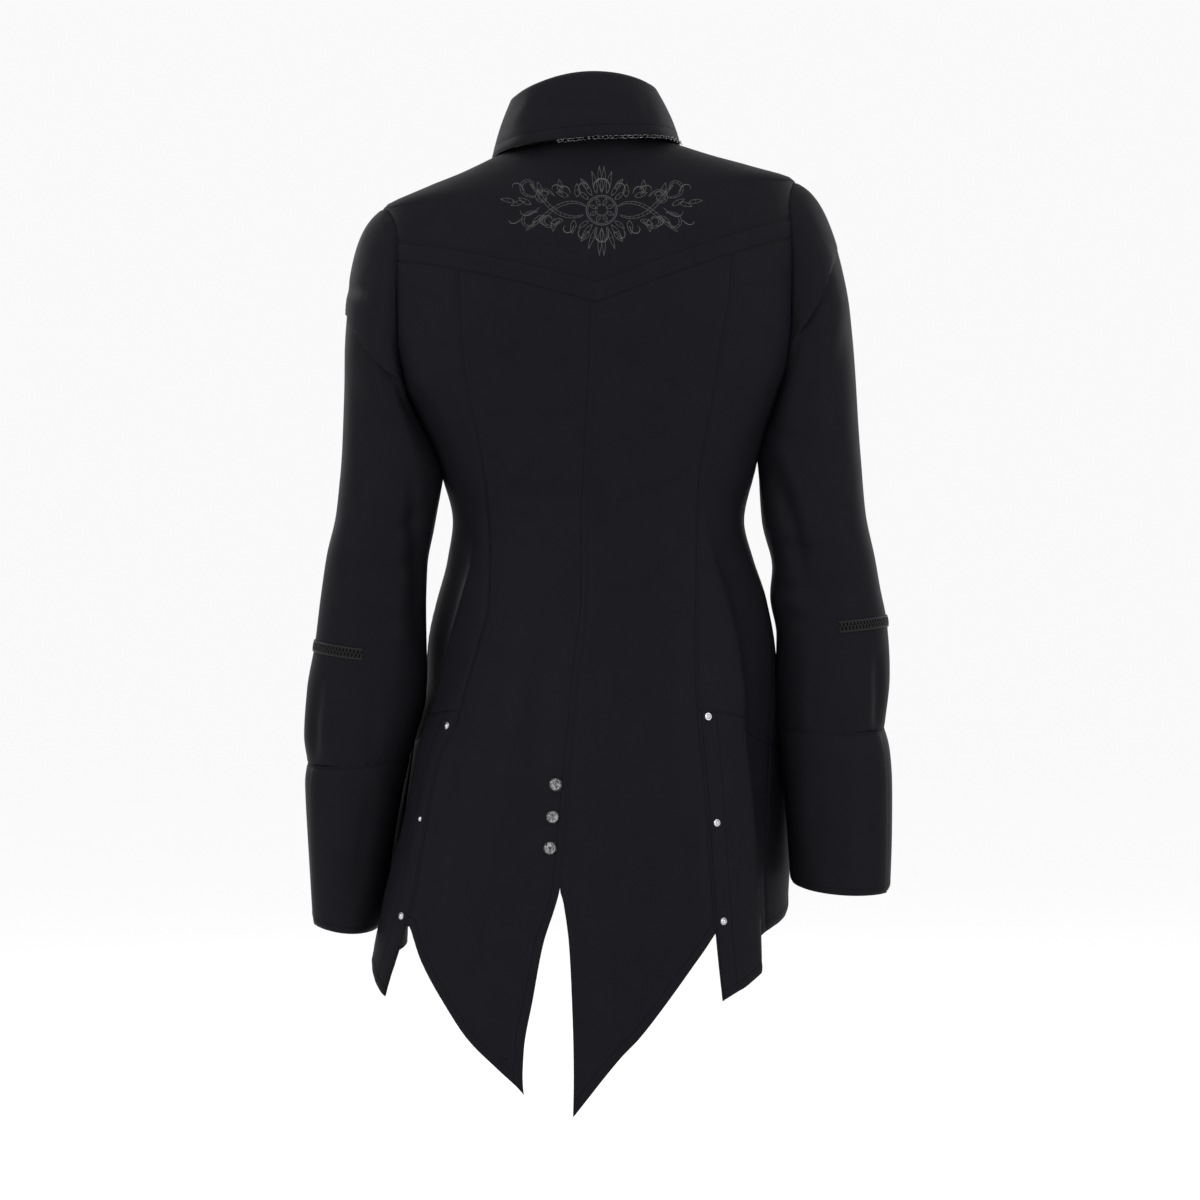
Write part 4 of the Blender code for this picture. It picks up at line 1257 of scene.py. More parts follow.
def settle_piece(piece: Thing, slot: str, *nodes: str) -> Thing:
    """Rides a piece on the one body and hides the solids that it stands for.

    Args:
        piece: the new object.
        slot: the record's material slot; not used.
        nodes: CAD nodes that it replaces.

    Returns:
        The same object.
    """
    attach(piece, "root")
    if nodes:
        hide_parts(*nodes)
    return piece


def hang(
    cloth: Cloth, finishes: Finishes, node: str, rests_on: Sequence[str]
) -> Thing:
    """Builds one piece of cloth in place of its solid; its flat cut is worked out but not kept.

    Args:
        cloth: the piece.
        finishes: the blouse's finishes.
        node: the solid that it stands for.
        rests_on: what it hangs from; not used.

    Returns:
        The new object.
    """
    piece = settle_piece(cloth.build(finishes.cloth), "black_cloth", node)
    width, length, area = cloth.flat_size()
    return piece


# ---- the bodice


BODY_CREASES = creases(
    Face.BACK,
    # the soft hanging folds of the skirt
    (((-72, -440), (-76, -520), (-70, -610)), 13, 2.2),
    (((-45, -455), (-50, -560), (-40, -690)), 15, -2.0),
    (((62, -440), (78, -540), (86, -660)), 15, 2.0),
    (((38, -450), (50, -560), (60, -690)), 13, -1.8),
    (((120, -520), (134, -620), (148, -735)), 9, -2.0),
    (((-92, -590), (-98, -680), (-100, -740)), 8, 1.6),
    # drag lines at the waist and from the armholes
    (((-96, -300), (-60, -318), (-30, -322)), 9, -1.3),
    (((-100, -342), (-62, -352), (-28, -348)), 8, 1.0),
    (((92, -305), (58, -322), (24, -326)), 9, -1.3),
    (((96, -350), (60, -358), (30, -352)), 8, 1.0),
    (((150, -205), (128, -240), (112, -290)), 9, -1.8),
    (((-152, -205), (-130, -240), (-112, -290)), 9, -1.8),
    (((142, -120), (120, -160), (110, -200)), 12, 1.2),
    (((-146, -125), (-124, -165), (-112, -205)), 12, 1.2),
    # the turned edge near the left tail's tip
    (((110, -800), (84, -826), (62, -850)), 6, 0.8),
) + creases(
    Face.FRONT,
    # the hidden front
    (((-112, -205), (-92, -250), (-84, -310)), 10, -1.8),
    (((112, -205), (92, -250), (84, -310)), 10, -1.8),
    (((-92, -330), (-60, -345), (-30, -342)), 9, -1.2),
    (((84, -330), (54, -345), (26, -342)), 9, -1.2),
    (((-62, -430), (-70, -520), (-74, -620)), 13, 2.0),
    (((52, -430), (60, -520), (66, -620)), 13, 2.0),
)


@dataclass
class Panel:
    """A cut piece of the bodice, between upright seams and lines across the body."""

    node: str
    seams: tuple[Curve, ...]
    lines: tuple[Curve, ...]
    edges: dict[Side, Edge]
    hangs_from: str

    @staticmethod
    def _settle(seam: Curve, line: Curve, first: float) -> float:
        """The turn where an upright seam meets a line across the body."""
        level = np.array([first])
        for _ in range(CORNER_ROUNDS):
            level = line(seam(level))
        return float(seam(level)[0])

    def _guide(self, line: Curve) -> list[tuple[Array, Array]]:
        """Each stretch of a line between two seams: fine turns, and the way along them."""
        first = float(line(np.full(1, GUIDE_TURN))[0])
        corners = [self._settle(seam, line, first) for seam in self.seams]
        stretches = []
        for start, end in zip(corners[:-1], corners[1:]):
            fine = np.linspace(start, end, GUIDE_POINTS)
            way = np.linalg.norm(np.diff(body(fine, line(fine)), axis=0), axis=1)
            stretches.append((fine, np.concatenate([[0], np.cumsum(way)])))
        return stretches

    def grid(self) -> tuple[Array, Array]:
        """Turns and levels of the piece's grid.

        Each line is shared out evenly between the seams. Between two lines a row keeps a share
        of the way from seam to seam that runs straight from the upper line's to the lower's.

        Returns:
            Arrays of rows by columns.
        """
        guides = [self._guide(line) for line in self.lines]
        last = len(self.seams) - 2
        shares = [
            crowded(max(guide[k][1][-1] for guide in guides), k == 0, k == last)
            for k in range(last + 1)
        ]
        shared = []
        for guide, line in zip(guides, self.lines):
            turns = [np.interp(share * way[-1], way, fine) for share, (fine, way) in zip(shares, guide)]
            shared.append([(turn, line(turn)) for turn in turns])
        bands = [
            self._band(upper, lower, g == 0, g == len(guides) - 2)
            for g, (upper, lower) in enumerate(zip(shared[:-1], shared[1:]))
        ]
        return tuple(np.concatenate(part) for part in zip(*bands))

    def _band(
        self, upper: list[tuple[Array, Array]], lower: list[tuple[Array, Array]], top: bool, end: bool
    ) -> tuple[Array, Array]:
        """Turns and levels of the rows between two lines.

        Args:
            upper: turns and levels along the upper line, one pair a stretch.
            lower: the same of the lower line.
            top: whether the upper line is the piece's first.
            end: whether the lower line is its last.

        Returns:
            Arrays of rows by columns; the first row is left out below the first line.
        """
        tall = [np.abs(above[1] - below[1]).mean() for above, below in zip(upper, lower)]
        t = crowded(float(np.mean(tall)), top, end)[0 if top else 1 :, None]
        turns, levels = [], []
        for k, pair in enumerate(zip(upper, lower)):
            left, right = self.seams[k], self.seams[k + 1]
            part = [(turn - left(level)) / (right(level) - left(level)) for turn, level in pair]
            level = (1 - t) * pair[0][1] + t * pair[1][1]
            mixed = (1 - t) * part[0] + t * part[1]
            turn = left(level) + mixed * (right(level) - left(level))
            turns.append(turn[:, (k > 0) :])
            levels.append(level[:, (k > 0) :])
        return np.concatenate(turns, axis=1), np.concatenate(levels, axis=1)

    def cloth(self) -> Cloth:
        """The piece as cloth on the body's surface."""
        turns, levels = self.grid()
        return Cloth(
            "cloth_" + self.node,
            body(turns, levels),
            body_normal(turns, levels),
            edges=self.edges,
            creases=BODY_CREASES,
        )


@dataclass
class Bodice:
    """The yoke, the panels of the back and sides, both fronts and the placket."""

    hem: float = 9.0
    strip: float = 17.0
    beside_seam: float = 1.8
    vent_stitch: float = 6.5
    placket_stitch: float = 3.0
    placket_pitch: float = 2.0
    seam_pucker: float = 0.14
    hem_pucker: float = 0.12

    def _sewn(self, *far: float) -> Edge:
        """A seam's edge, with rows of topstitching so far in."""
        return Edge(far, pucker=self.seam_pucker)

    def panels(self) -> list[Panel]:
        """Every cut piece, from the neck down."""
        half = SEAM_GAP / 2
        upper, lower = v_line(YOKE_CENTRE, YOKE_SIDE), v_line(BAND_CENTRE, BAND_SIDE)
        seam, armpit = table_line(LOWER_SEAM), at_level(ARMPIT)
        shoulders = (
            moved(armhole(-1, False), half), back_seam("vent_left"), moved(armhole(1, False), -half)
        )
        plain, near = Edge(), Edge((self.beside_seam,))
        hemmed = Edge((self.hem - 1,), self.hem, self.hem_pucker)
        lines = neckline, at_level(SHOULDER_POINT), raised(upper, half)
        edges = {Side.BOTTOM: plain, Side.START: plain, Side.END: plain}
        found = [Panel("yoke_back", shoulders, lines, edges, "collar_stand")]
        lines = raised(upper, -half), raised(lower, half)
        edges = {Side.TOP: near, Side.BOTTOM: near}
        found.append(Panel("yoke_band", shoulders, lines, edges, "yoke_back"))
        for side, sign, tail in (("left", 1, LEFT_TAIL), ("right", -1, RIGHT_TAIL)):
            vent, outer = back_seam("vent_" + side), back_seam(side)
            bottom = by_x(lambda x, tail=tail: tail.of("hem", x))
            edges = {
                Side.TOP: plain,
                Side.START: self._sewn(self.vent_stitch) if sign > 0 else self._sewn(),
                Side.END: self._sewn(self.beside_seam),
                Side.BOTTOM: hemmed,
            }
            seams = moved(vent, sign * half), moved(outer, -sign * half)
            lines = raised(lower, -half), armpit, seam, bottom
            found.append(Panel("back_" + side, seams, lines, edges, "yoke_band"))
        for side, sign in (("left", 1), ("right", -1)):
            hem = table_line(SIDE_HEM, side)
            behind = moved(back_seam(side), sign * half), moved(armhole(sign, False), -sign * half)
            middle = moved(at_turn(sign * CENTRE_FRONT), -sign * half)
            before = moved(armhole(sign, True), sign * half), middle
            lines = raised(lower, -half), armpit, raised(seam, half)
            edges = {Side.TOP: plain, Side.START: plain, Side.BOTTOM: plain}
            found.append(Panel("side_back_" + side, behind, lines, edges, "yoke_band"))
            lines = raised(seam, -half), table_line(TAIL_LINE), hem
            strip = self._sewn(self.beside_seam, self.strip)
            edges = {Side.TOP: near, Side.START: strip, Side.BOTTOM: hemmed}
            found.append(Panel("lower_side_" + side, behind, lines, edges, "side_back_" + side))
            lines = neckline, front_row, armpit, raised(seam, half)
            edges = {Side.START: plain, Side.BOTTOM: plain}
            found.append(Panel("front_" + side, before, lines, edges, "yoke_back"))
            lines = raised(seam, -half), hem
            edges = {Side.TOP: near, Side.BOTTOM: hemmed}
            found.append(Panel("lower_front_" + side, before, lines, edges, "front_" + side))
        return found

    def placket(self) -> Cloth:
        """The strip over the meeting edges of the fronts, stitched along both sides."""
        top = NECK_FRONT - PLACKET_BELOW_STAND
        bottom = float(SIDE_HEM.of("left", CENTRE_FRONT))
        levels = top + (bottom - top) * crowded(top - bottom, True, True)[:, None]
        reach = np.hypot(*section(np.full_like(levels, CENTRE_FRONT), levels))
        across = 2 * crowded(2 * PLACKET_HALF, True, True, self.placket_pitch)[None, :] - 1
        turns, levels = np.broadcast_arrays(
            CENTRE_FRONT + across * np.degrees(PLACKET_HALF / reach), levels
        )
        outward = body_normal(turns, levels)
        row = Edge((self.placket_stitch,), pucker=self.hem_pucker)
        return Cloth(
            "cloth_front_placket",
            body(turns, levels) + outward * (WALL + 0.5 * GAP),
            outward,
            edges={Side.START: row, Side.END: row, Side.BOTTOM: Edge((self.hem - 1,))},
            creases=BODY_CREASES,
        )

    def build(self, finishes: Finishes) -> None:
        """Makes every piece and its topstitching.

        Args:
            finishes: the blouse's finishes.
        """
        for panel in self.panels():
            cloth = panel.cloth()
            hang(cloth, finishes, panel.node, [panel.hangs_from])
            sew(cloth, finishes)
        cloth = self.placket()
        hang(cloth, finishes, "front_placket", ["front_left", "front_right"])
        sew(cloth, finishes)


def sew(cloth: Cloth, finishes: Finishes) -> None:
    """Adds a piece's topstitching, where it has any.

    Args:
        cloth: the piece.
        finishes: the blouse's finishes.
    """
    lines = cloth.stitch_lines()
    if lines:
        name = cloth.name.replace("cloth_", "stitching_")
        settle_piece(stitches(lines).build(name, finishes.thread), "black_trim")


# ---- embroidery


@dataclass(frozen=True)
class Embroidery:
    """Tone-on-tone scrolls and leaves round a rosette, in fine stitches on the yoke."""

    middle: tuple[float, float] = (-9.0, -63.0)
    rise: float = 0.3
    fine: float = 0.2
    stroke_pitch: float = 4.6
    rosette: tuple[float, float] = (12.6, 14.2)  # radius of its two rings
    teeth: tuple[float, float] = (12.7, 14.1)  # reach of the strokes between them
    teeth_count: int = 48
    hub: float = 5.0
    petals: int = 8
    petal: tuple[float, float, float] = (5.2, 6.6, 1.6)  # start, length and half width
    fan_leaf: tuple[float, float] = (15.5, 1.8)  # start and half width

    # u, v, heading, length, bend at the start and at the end (degrees a millimetre), half width
    scrolls: tuple[tuple[float, ...], ...] = (
        (14, 3, 40, 64, -3.6, 1.4, 1.5),
        (16, -4, -30, 62, 3.3, -0.8, 1.5),
        (43, 13, 58, 36, -3.0, -15.5, 1.1),
        (38, -9, -64, 32, 3.0, 16.5, 1.1),
        (60, 13, -10, 38, 3.2, 13.0, 1.2),
        (58, -2, 8, 34, -2.2, -14.5, 1.1),
    )
    tendrils: tuple[tuple[float, ...], ...] = (
        (29, 15, 98, 22, -6.0, -19.0, 0.4),
        (26, -14, -98, 20, 6.0, 20.0, 0.4),
        (6, 17, 68, 28, 3.0, 15.0, 0.4),
        (5, -17, -66, 26, -3.0, -16.0, 0.4),
        (56, 3, -34, 24, -4.0, 15.0, 0.35),
        (20, 16, 60, 18, 4.0, 20.0, 0.35),
        (34, 20, 40, 16, 2.0, -22.0, 0.35),
        (19, -17, -50, 16, -4.0, -20.0, 0.35),
        (48, -14, -20, 18, 6.0, 20.0, 0.35),
        (70, 18, 50, 18, 5.0, -24.0, 0.35),
        (72, -8, -30, 16, -6.0, 22.0, 0.35),
    )
    # u, v, heading, length, half width
    leaves: tuple[tuple[float, ...], ...] = (
        (22, 12, 84, 13, 2.5),
        (30, 13, 18, 12, 2.3),
        (38, 16, 84, 13, 2.3),
        (48, 15, 14, 12, 2.2),
        (55, 15, 70, 12, 2.1),
        (25, -9, -84, 13, 2.4),
        (35, -9, -20, 12, 2.3),
        (43, -8, -86, 12, 2.2),
        (52, -5, -34, 12, 2.1),
        (64, 5, 26, 13, 2.1),
        (71, 8, -20, 12, 2.0),
        (79, 8, 8, 13, 1.8),
        (12, 20, 52, 12, 2.1),
        (11, -20, -52, 12, 2.1),
    )
    # the upright leaves above and below the rosette: heading and length
    fan: tuple[tuple[float, float], ...] = ((90, 26), (74, 22), (57, 17), (40, 11))

    def _scroll(self, row: Sequence[float], count: int = 60) -> Array:
        """A line whose bend changes evenly along it: u, v and half width, tapering at its ends."""
        u, v, heading, length, bend_start, bend_end, half = row
        s = np.linspace(0, length, count)
        angle = np.radians(heading + bend_start * s + (bend_end - bend_start) * s**2 / (2 * length))
        step = length / (count - 1)
        along = [u + np.cumsum(np.cos(angle)) * step, v + np.cumsum(np.sin(angle)) * step]
        swell = np.sin(math.pi * np.linspace(0.02, 0.98, count)) ** TAPER_POWER
        return np.stack([*along, half * (0.15 + 0.85 * swell)], -1)

    def _thin(self, path: Array, share: float = 1.0) -> Array:
        """A path of u and v as a fine line."""
        return np.concatenate([path[:, :2], np.full((len(path), 1), self.fine * share)], -1)

    def _outlined(self, line: Array, strokes: int, lean: float) -> list[Array]:
        """Both sides of a band and the slanting strokes that fill it.

        Each side lies the half width to the left or right of the line; a stroke runs from one
        side to a place further on along the other.

        Args:
            line: u, v and half width.
            strokes: how many strokes fill it.
            lean: how far along a stroke's far end lies, as a share of the line.

        Returns:
            Fine lines of u, v and half width.
        """
        along = unit(np.gradient(line[:, :2], axis=0))
        aside = np.stack([-along[:, 1], along[:, 0]], -1) * line[:, 2:]
        left, right = line[:, :2] + aside, line[:, :2] - aside
        found = [self._thin(left), self._thin(right)]
        knots = np.linspace(0, 1, len(line))
        for at in np.linspace(0.06, 0.92 - lean, strokes):
            start = [np.interp(at, knots, column) for column in right.T]
            end = [np.interp(at + lean, knots, column) for column in left.T]
            found.append(self._thin(np.linspace(start, end, 4), 0.62))
        return found

    def _leaf(self, u: float, v: float, heading: float, length: float, half: float) -> list[Array]:
        """A leaf: an outline whose half width is a leaning sine, and three strokes across it."""
        line = self._scroll((u, v, heading, length, 1.5, -2.0, 1.0), 24)
        line[:, 2] = half * np.sin(math.pi * np.linspace(0, 1, len(line)) ** 0.8) + 0.05
        return self._outlined(line, 3, 0.12)

    def _petal(self, heading: float, start: float, length: float, half: float) -> list[Array]:
        """A leaf that points away from the middle."""
        at = math.radians(heading)
        return self._leaf(start * math.cos(at), start * math.sin(at), heading, length, half)

    def _ring(self, radius: float, share: float, waves: int = 0, deep: float = 0.0) -> Array:
        """A ring round the middle, waved in and out so many times."""
        angle = np.linspace(0, TAU, 130)
        reach = radius + deep * np.cos(waves * angle)
        return self._thin(np.stack([reach * np.cos(angle), reach * np.sin(angle)], -1), share)

    def lines(self) -> list[Array]:
        """Every line of the motif in u and v, with its half width."""
        found = []
        for row in self.scrolls:
            found += self._outlined(self._scroll(row), round(row[3] / self.stroke_pitch), 0.03)
        found += [self._scroll(row) for row in self.tendrils]
        for row in self.leaves:
            found += self._leaf(*row)
        for heading, length in self.fan:
            for way in (1, -1):
                start, half = self.fan_leaf
                found += self._petal(way * heading, start, length, half)
        found = found + [line * (-1, 1, 1) for line in found]
        inside, outside = self.rosette
        found += [self._ring(outside, 1.3), self._ring(inside, 0.9)]
        found.append(self._ring(self.hub, 1.0, self.petals, 0.6))
        for k in range(self.teeth_count):
            at = TAU * k / self.teeth_count
            way = np.array([math.cos(at), math.sin(at)])
            found.append(self._thin(np.linspace(*(reach * way for reach in self.teeth), 3), 0.7))
        for k in range(self.petals):
            found += self._petal((k + 0.5) * 360 / self.petals, *self.petal)
        return found

    def build(self, finishes: Finishes) -> None:
        """Lays every line on the yoke as a low oval thread.

        Args:
            finishes: the blouse's finishes.
        """
        lines = self.lines()
        flat = np.concatenate(lines)
        turn, level = turn_and_level_at(self.middle[0] - flat[:, 0], self.middle[1] + flat[:, 1])
        out, ground = body_normal(turn, level), body(turn, level)
        at = ground + out * (WALL + ripple(ground))[:, None]
        mesh, start = Mesh(), 0
        for line in lines:
            part = slice(start, start + len(line))
            start += len(line)
            high = np.minimum(self.rise, 0.1 + line[:, 2])
            wide = line[None, :, 2]
            mesh.add(*strands(at[None, part], out[None, part], wide, high[None], CORD_SIDES))
        settle_piece(mesh.build("yoke_embroidery", finishes.embroidery), "black_trim")


# ---- small metal parts


def bell(at: Array, height: float, place: float, width: float) -> Array:
    """A bell curve of the given height, at a place."""
    return height * np.exp(-(((at - place) / width) ** 2))


@dataclass(frozen=True)
class Turned:
    """A small round fitting that stands on the cloth, turned about the cloth's normal."""

    radius: float
    height: float
    rings: int = 22
    sides: int = 48
    base: tuple[float, float] = (0.97, 0.4)  # the underside's rings, as shares of the radius

    def profile(self, t: Array, angle: Array) -> Array:
        """Height over its base as a share of the whole, at a share t of the radius."""
        return np.sqrt(np.clip(1 - t**2, 0, 1))

    def build(
        self, name: str, centre: Array, normal: Array, finish: Material
    ) -> Thing:
        """Makes it as a polar grid: the face from its middle to its rim, the flank and the base.

        Args:
            name: of the object.
            centre: the middle of its solid.
            normal: the way out of the cloth.
            finish: its metal.

        Returns:
            The new object.
        """
        side = unit(np.cross(normal, (0.0, 0.0, 1.0)))
        up = np.cross(side, normal)
        angle = np.arange(self.sides) * TAU / self.sides
        t = np.sin(np.linspace(0.02, 1, self.rings) * math.pi / 2)
        t, turn = t[:, None], angle[None, :]
        reach = np.broadcast_to(self.radius * t, (self.rings, self.sides))
        high = self.height * self.profile(t, turn) * np.ones_like(turn)
        low = self.height / 2
        reach = np.concatenate([reach, *(reach[-1:] * share for share in self.base)])
        high = np.concatenate([high, np.zeros((len(self.base), self.sides))]) - low
        points = (
            centre
            + side * (reach * np.cos(turn))[..., None]
            + up * (reach * np.sin(turn))[..., None]
            + normal * high[..., None]
        )
        rows = len(points)
        r, k = cells(rows - 1, self.sides)
        ring, following, beside = r * self.sides, (r + 1) * self.sides, (k + 1) % self.sides
        quads = np.stack([ring + k, following + k, following + beside, ring + beside], -1)
        k = np.arange(self.sides)
        ends = np.stack([k, (rows - 1) * self.sides + k[::-1]])
        mesh = Mesh()
        mesh.add(points, [quads, ends])
        return mesh.build(name, finish, 40)


@dataclass(frozen=True)
class Stud(Turned):
    """A polished dome with a narrow flat brim."""

    def profile(self, t: Array, angle: Array) -> Array:
        """A dome to four fifths of the radius, then the brim."""
        dome = np.sqrt(np.clip(1 - (t / 0.82) ** 2, 0, 1))
        return np.maximum(dome, 0.22 * (t < 0.97) + 0.08)


@dataclass(frozen=True)
class ReliefButton(Turned):
    """A cast button: a raised rim, a ring of beads and a flower in a shallow dish."""

    petals: int = 6
    beads: int = 24
    dish: float = 0.58
    flower: float = 0.26
    boss: float = 0.3
    rim: tuple[float, float, float] = (0.36, 0.9, 0.06)  # height, place and width
    beading: tuple[float, float, float] = (0.2, 0.72, 0.045)

    def profile(self, t: Array, angle: Array) -> Array:
        """Bells in t for the rim and the beads, and petals as a power of a cosine in the dish."""
        beads = bell(t, *self.beading) * (0.5 + 0.5 * np.cos(self.beads * angle))
        petal = np.abs(np.cos(self.petals / 2 * angle)) ** 1.5
        flower = self.flower * petal * smooth_step(0.12, 0.22, t) * (1 - smooth_step(0.42, 0.58, t))
        boss = self.boss * (1 - smooth_step(0.08, 0.16, t))
        edge = smooth_step(0.93, 1.0, t)
        return (self.dish + bell(t, *self.rim) + beads + flower + boss) * (1 - 0.75 * edge)


@dataclass
class Fastenings:
    """The studs down the sides, the buttons by the vent and those of the front."""

    stud: Stud = Stud(3.3, 2.4, 16, 32)
    vent_button: ReliefButton = ReliefButton(6.0, 2.3, 30, 72)
    front_button: ReliefButton = ReliefButton(5.0, 2.3, 26, 60)

    def build(self, finishes: Finishes) -> None:
        """Makes each where its solid stands, facing out of the cloth.

        Args:
            finishes: the blouse's finishes.
        """
        kinds = {
            "stud": (self.stud, finishes.polished, "polished_metal"),
            "vent_button": (self.vent_button, finishes.aged, "aged_metal"),
            "front_button": (self.front_button, finishes.aged, "aged_metal"),
        }
        for node in sorted(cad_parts):
            for kind, (fitting, finish, slot) in kinds.items():
                if not node.startswith(kind + "_"):
                    continue
                low, high = (np.array(corner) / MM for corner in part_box(node))
                centre = (low + high) / 2
                place = CENTRE_FRONT, centre[2]
                if centre[1] > 0:
                    place = turn_and_level_at(centre[0], centre[2])
                normal = body_normal(*place)
                piece = fitting.build("metal_" + node, centre, normal, finish)
                settle_piece(piece, slot, node)


# ---- collar


def stand_top(turn: Array) -> tuple[Array, Array, Array]:
    """Local x, y and level of the top of the stand: over the neckline, leaning in."""
    base = neckline(turn)
    x, y = section(turn, base)
    cosine, sine = cos_sin(turn)
    tall = (STAND_BACK + STAND_FRONT) / 2 + (STAND_BACK - STAND_FRONT) / 2 * cosine
    return x - STAND_NARROW * sine, y - STAND_LEAN * np.clip(cosine, 0, 1), base + tall


def collar_edge(turn: Array) -> tuple[Array, Array, Array]:
    """Local x, y and level of the collar's outer edge, below the roll at this turn."""
    around = np.abs(turn)
    x = np.sign(turn) * COLLAR_EDGE.of("x", around)
    return x, COLLAR_EDGE.of("y", around), COLLAR_EDGE.of("level", around)


def grid_normals(points: Array, closed: bool, like: Array) -> Array:
    """Normals of a grid: the cross product of its two gradients, on the side of like."""
    down = np.gradient(points, axis=0)
    if closed:
        across = np.roll(points, -1, axis=1) - np.roll(points, 1, axis=1)
    else:
        across = np.gradient(points, axis=1)
    normal = unit(np.cross(down, across))
    return normal * np.sign(np.sum(normal * like, axis=-1, keepdims=True))


COLLAR_CREASES = creases(
    Face.BACK,
    (((60, 40), (20, 34), (-30, 38)), 9, -0.9),
    (((72, 20), (60, 38), (54, 52)), 7, 0.9),
    (((-62, 12), (-52, 32), (-46, 50)), 7, -0.9),
    (((-20, 14), (-10, 30), (-16, 50)), 12, 0.7),
)


@dataclass
class Collar:
    """The upright stand, the fall that rolls over it and the chain below the fall's edge."""

    columns: int = 170
    stand_turn: float = 179.3
    stand_long: float = 460.0
    stand_stitch: float = 2.0
    fall_turn: float = 176.0
    fall_long: float = 520.0
    fall_deep: float = 64.0
    fall_pitch: float = 3.0
    fall_clear: float = 0.6
    roll_end: float = 60.0  # degrees over the roll's outside
    stitch: float = 10.5
    chain_from: float = 22.0
    chain_to: float = -84.0
    link_pitch: float = 4.8
    link_long: float = 2.9
    link_wide: float = 1.7
    link_lean: tuple[float, float] = (38.0, -42.0)
    link_points: int = 14
    wire: float = 0.36
    wire_sides: int = 7

    def stand(self) -> Cloth:
        """The stand: straight lines from the neckline, just outside the cloth, to its top."""
        steps = crowded(self.stand_long, True, True, self.stand_long / self.columns)
        turns = self.stand_turn * (2 * steps - 1)
        base = body(turns, neckline(turns))
        base = base + body_normal(turns, neckline(turns)) * (WALL + STAND_CLEAR)
        top = stand_as_worn(*stand_top(turns))
        high = crowded(STAND_BACK, True, True)[:, None, None]
        inner = base + (top - base) * high
        away = unit((inner - inner.mean(axis=1, keepdims=True)) * (1, 1, 0))
        return Cloth(
            "cloth_collar_stand",
            inner,
            grid_normals(inner, False, away),
            COLLAR_WALL,
            edges={Side.TOP: Edge((self.stand_stitch,))},
            calm=0.4,
        )

    def fall(self) -> Cloth:
        """The fall: a third of a circle over the stand's top, then a slightly bellied slope."""
        steps = crowded(self.fall_long, True, True, self.fall_long / self.columns)
        turns = self.fall_turn * (2 * steps - 1)
        x, y, level = stand_top(turns)
        top = np.stack([x, y, level + GAP], axis=-1)
        edge = np.stack(collar_edge(turns), axis=-1)
        out = unit(np.stack([x, y, 0 * x], axis=-1))
        up = np.array([0.0, 0.0, 1.0])
        centre = top + out * ROLL_RADIUS
        angle = np.radians(np.linspace(180, self.roll_end, 11))[:, None, None]
        off = np.cos(angle) * out + np.sin(angle) * up
        start = centre + ROLL_RADIUS * out + out * (COLLAR_WALL + self.fall_clear)
        part = crowded(self.fall_deep, False, True, self.fall_pitch)[:, None, None]
        slope = start + (edge - start) * part + out * FALL_BELLY * np.sin(math.pi * part)
        local = np.concatenate([centre + ROLL_RADIUS * off, slope])
        hint = np.concatenate([off, np.ones_like(part) * (out + 0.3 * up)])
        inner = stand_as_worn(local[..., 0], local[..., 1], local[..., 2])
        row = Edge((self.stitch,), pucker=0.08)
        return Cloth(
            "cloth_collar_fall",
            inner,
            grid_normals(inner, False, hint),
            COLLAR_WALL,
            edges={Side.BOTTOM: row, Side.START: row, Side.END: row},
            creases=COLLAR_CREASES,
            calm=0.5,
        )

    def chain(self) -> Mesh:
        """Oval wire links along the path below the fall's edge, every other one turned."""
        turns = np.linspace(self.chain_from, self.chain_to, 220)
        x, y, level = collar_edge(turns)
        away = unit(np.stack([x, y], axis=-1))
        beside = np.sin(np.radians(turns)) ** 2
        out, down = 0.7 + 1.9 * beside, 1.9 - 0.9 * beside
        path = stand_as_worn(x + away[:, 0] * out, y + away[:, 1] * out, level - down)
        at, _ = resampled(path, self.link_pitch)
        along = unit(np.gradient(at, axis=0))
        side = unit(np.cross(along, (0.0, 0.0, 1.0)))
        up = np.cross(side, along)
        lean = np.radians(np.where(np.arange(len(at)) % 2, *self.link_lean))[:, None]
        flat = up * np.cos(lean) + side * np.sin(lean)
        face = side * np.cos(lean) - up * np.sin(lean)
        angle = np.arange(self.link_points) * TAU / self.link_points
        ring = (
            at[:, None]
            + along[:, None] * (self.link_long * np.cos(angle))[:, None]
            + flat[:, None] * (self.link_wide * np.sin(angle))[:, None]
        )
        mesh = Mesh()
        face = np.broadcast_to(face[:, None], ring.shape)
        mesh.add(*strands(ring, face, self.wire, self.wire, self.wire_sides, loop=True))
        return mesh

    def build(self, finishes: Finishes) -> None:
        """Makes the stand, the fall with its topstitching, and the chain.

        Args:
            finishes: the blouse's finishes.
        """
        stand, fall = self.stand(), self.fall()
        hang(stand, finishes, "collar_stand", ["yoke_back"])
        sew(stand, finishes)
        hang(fall, finishes, "collar_fall", ["collar_stand"])
        sew(fall, finishes)
        links = self.chain().build("metal_collar_chain", finishes.chain)
        settle_piece(links, "aged_metal", "collar_chain")


# ---- sleeves and cuffs


def arm_ring(table: Table, sign: int, level: Array, around: Array) -> Array:
    """Points of a sleeve's section, an oval: 0 is its outer line, 90 the back, 180 the inner.

    Args:
        table: the sleeve's or the cuff's sections.
        sign: 1 on the garment's left, -1 on the right.
        level: height of the section's middle.
        around: degrees round it.

    Returns:
        The points.
    """
    value = {name: table.of(name, level) for name in table.columns}
    c, s = cos_sin(around)
    middle = (value["outer"] + value["inner"]) / 2
    x = sign * (middle + (value["outer"] - value["inner"]) / 2 * c)
    y = value["y"] + value["deep"] * s
    z = level + value["rise"] / 2 * c - value["drop"] * s
    return np.stack(np.broadcast_arrays(x, y, z), axis=-1)


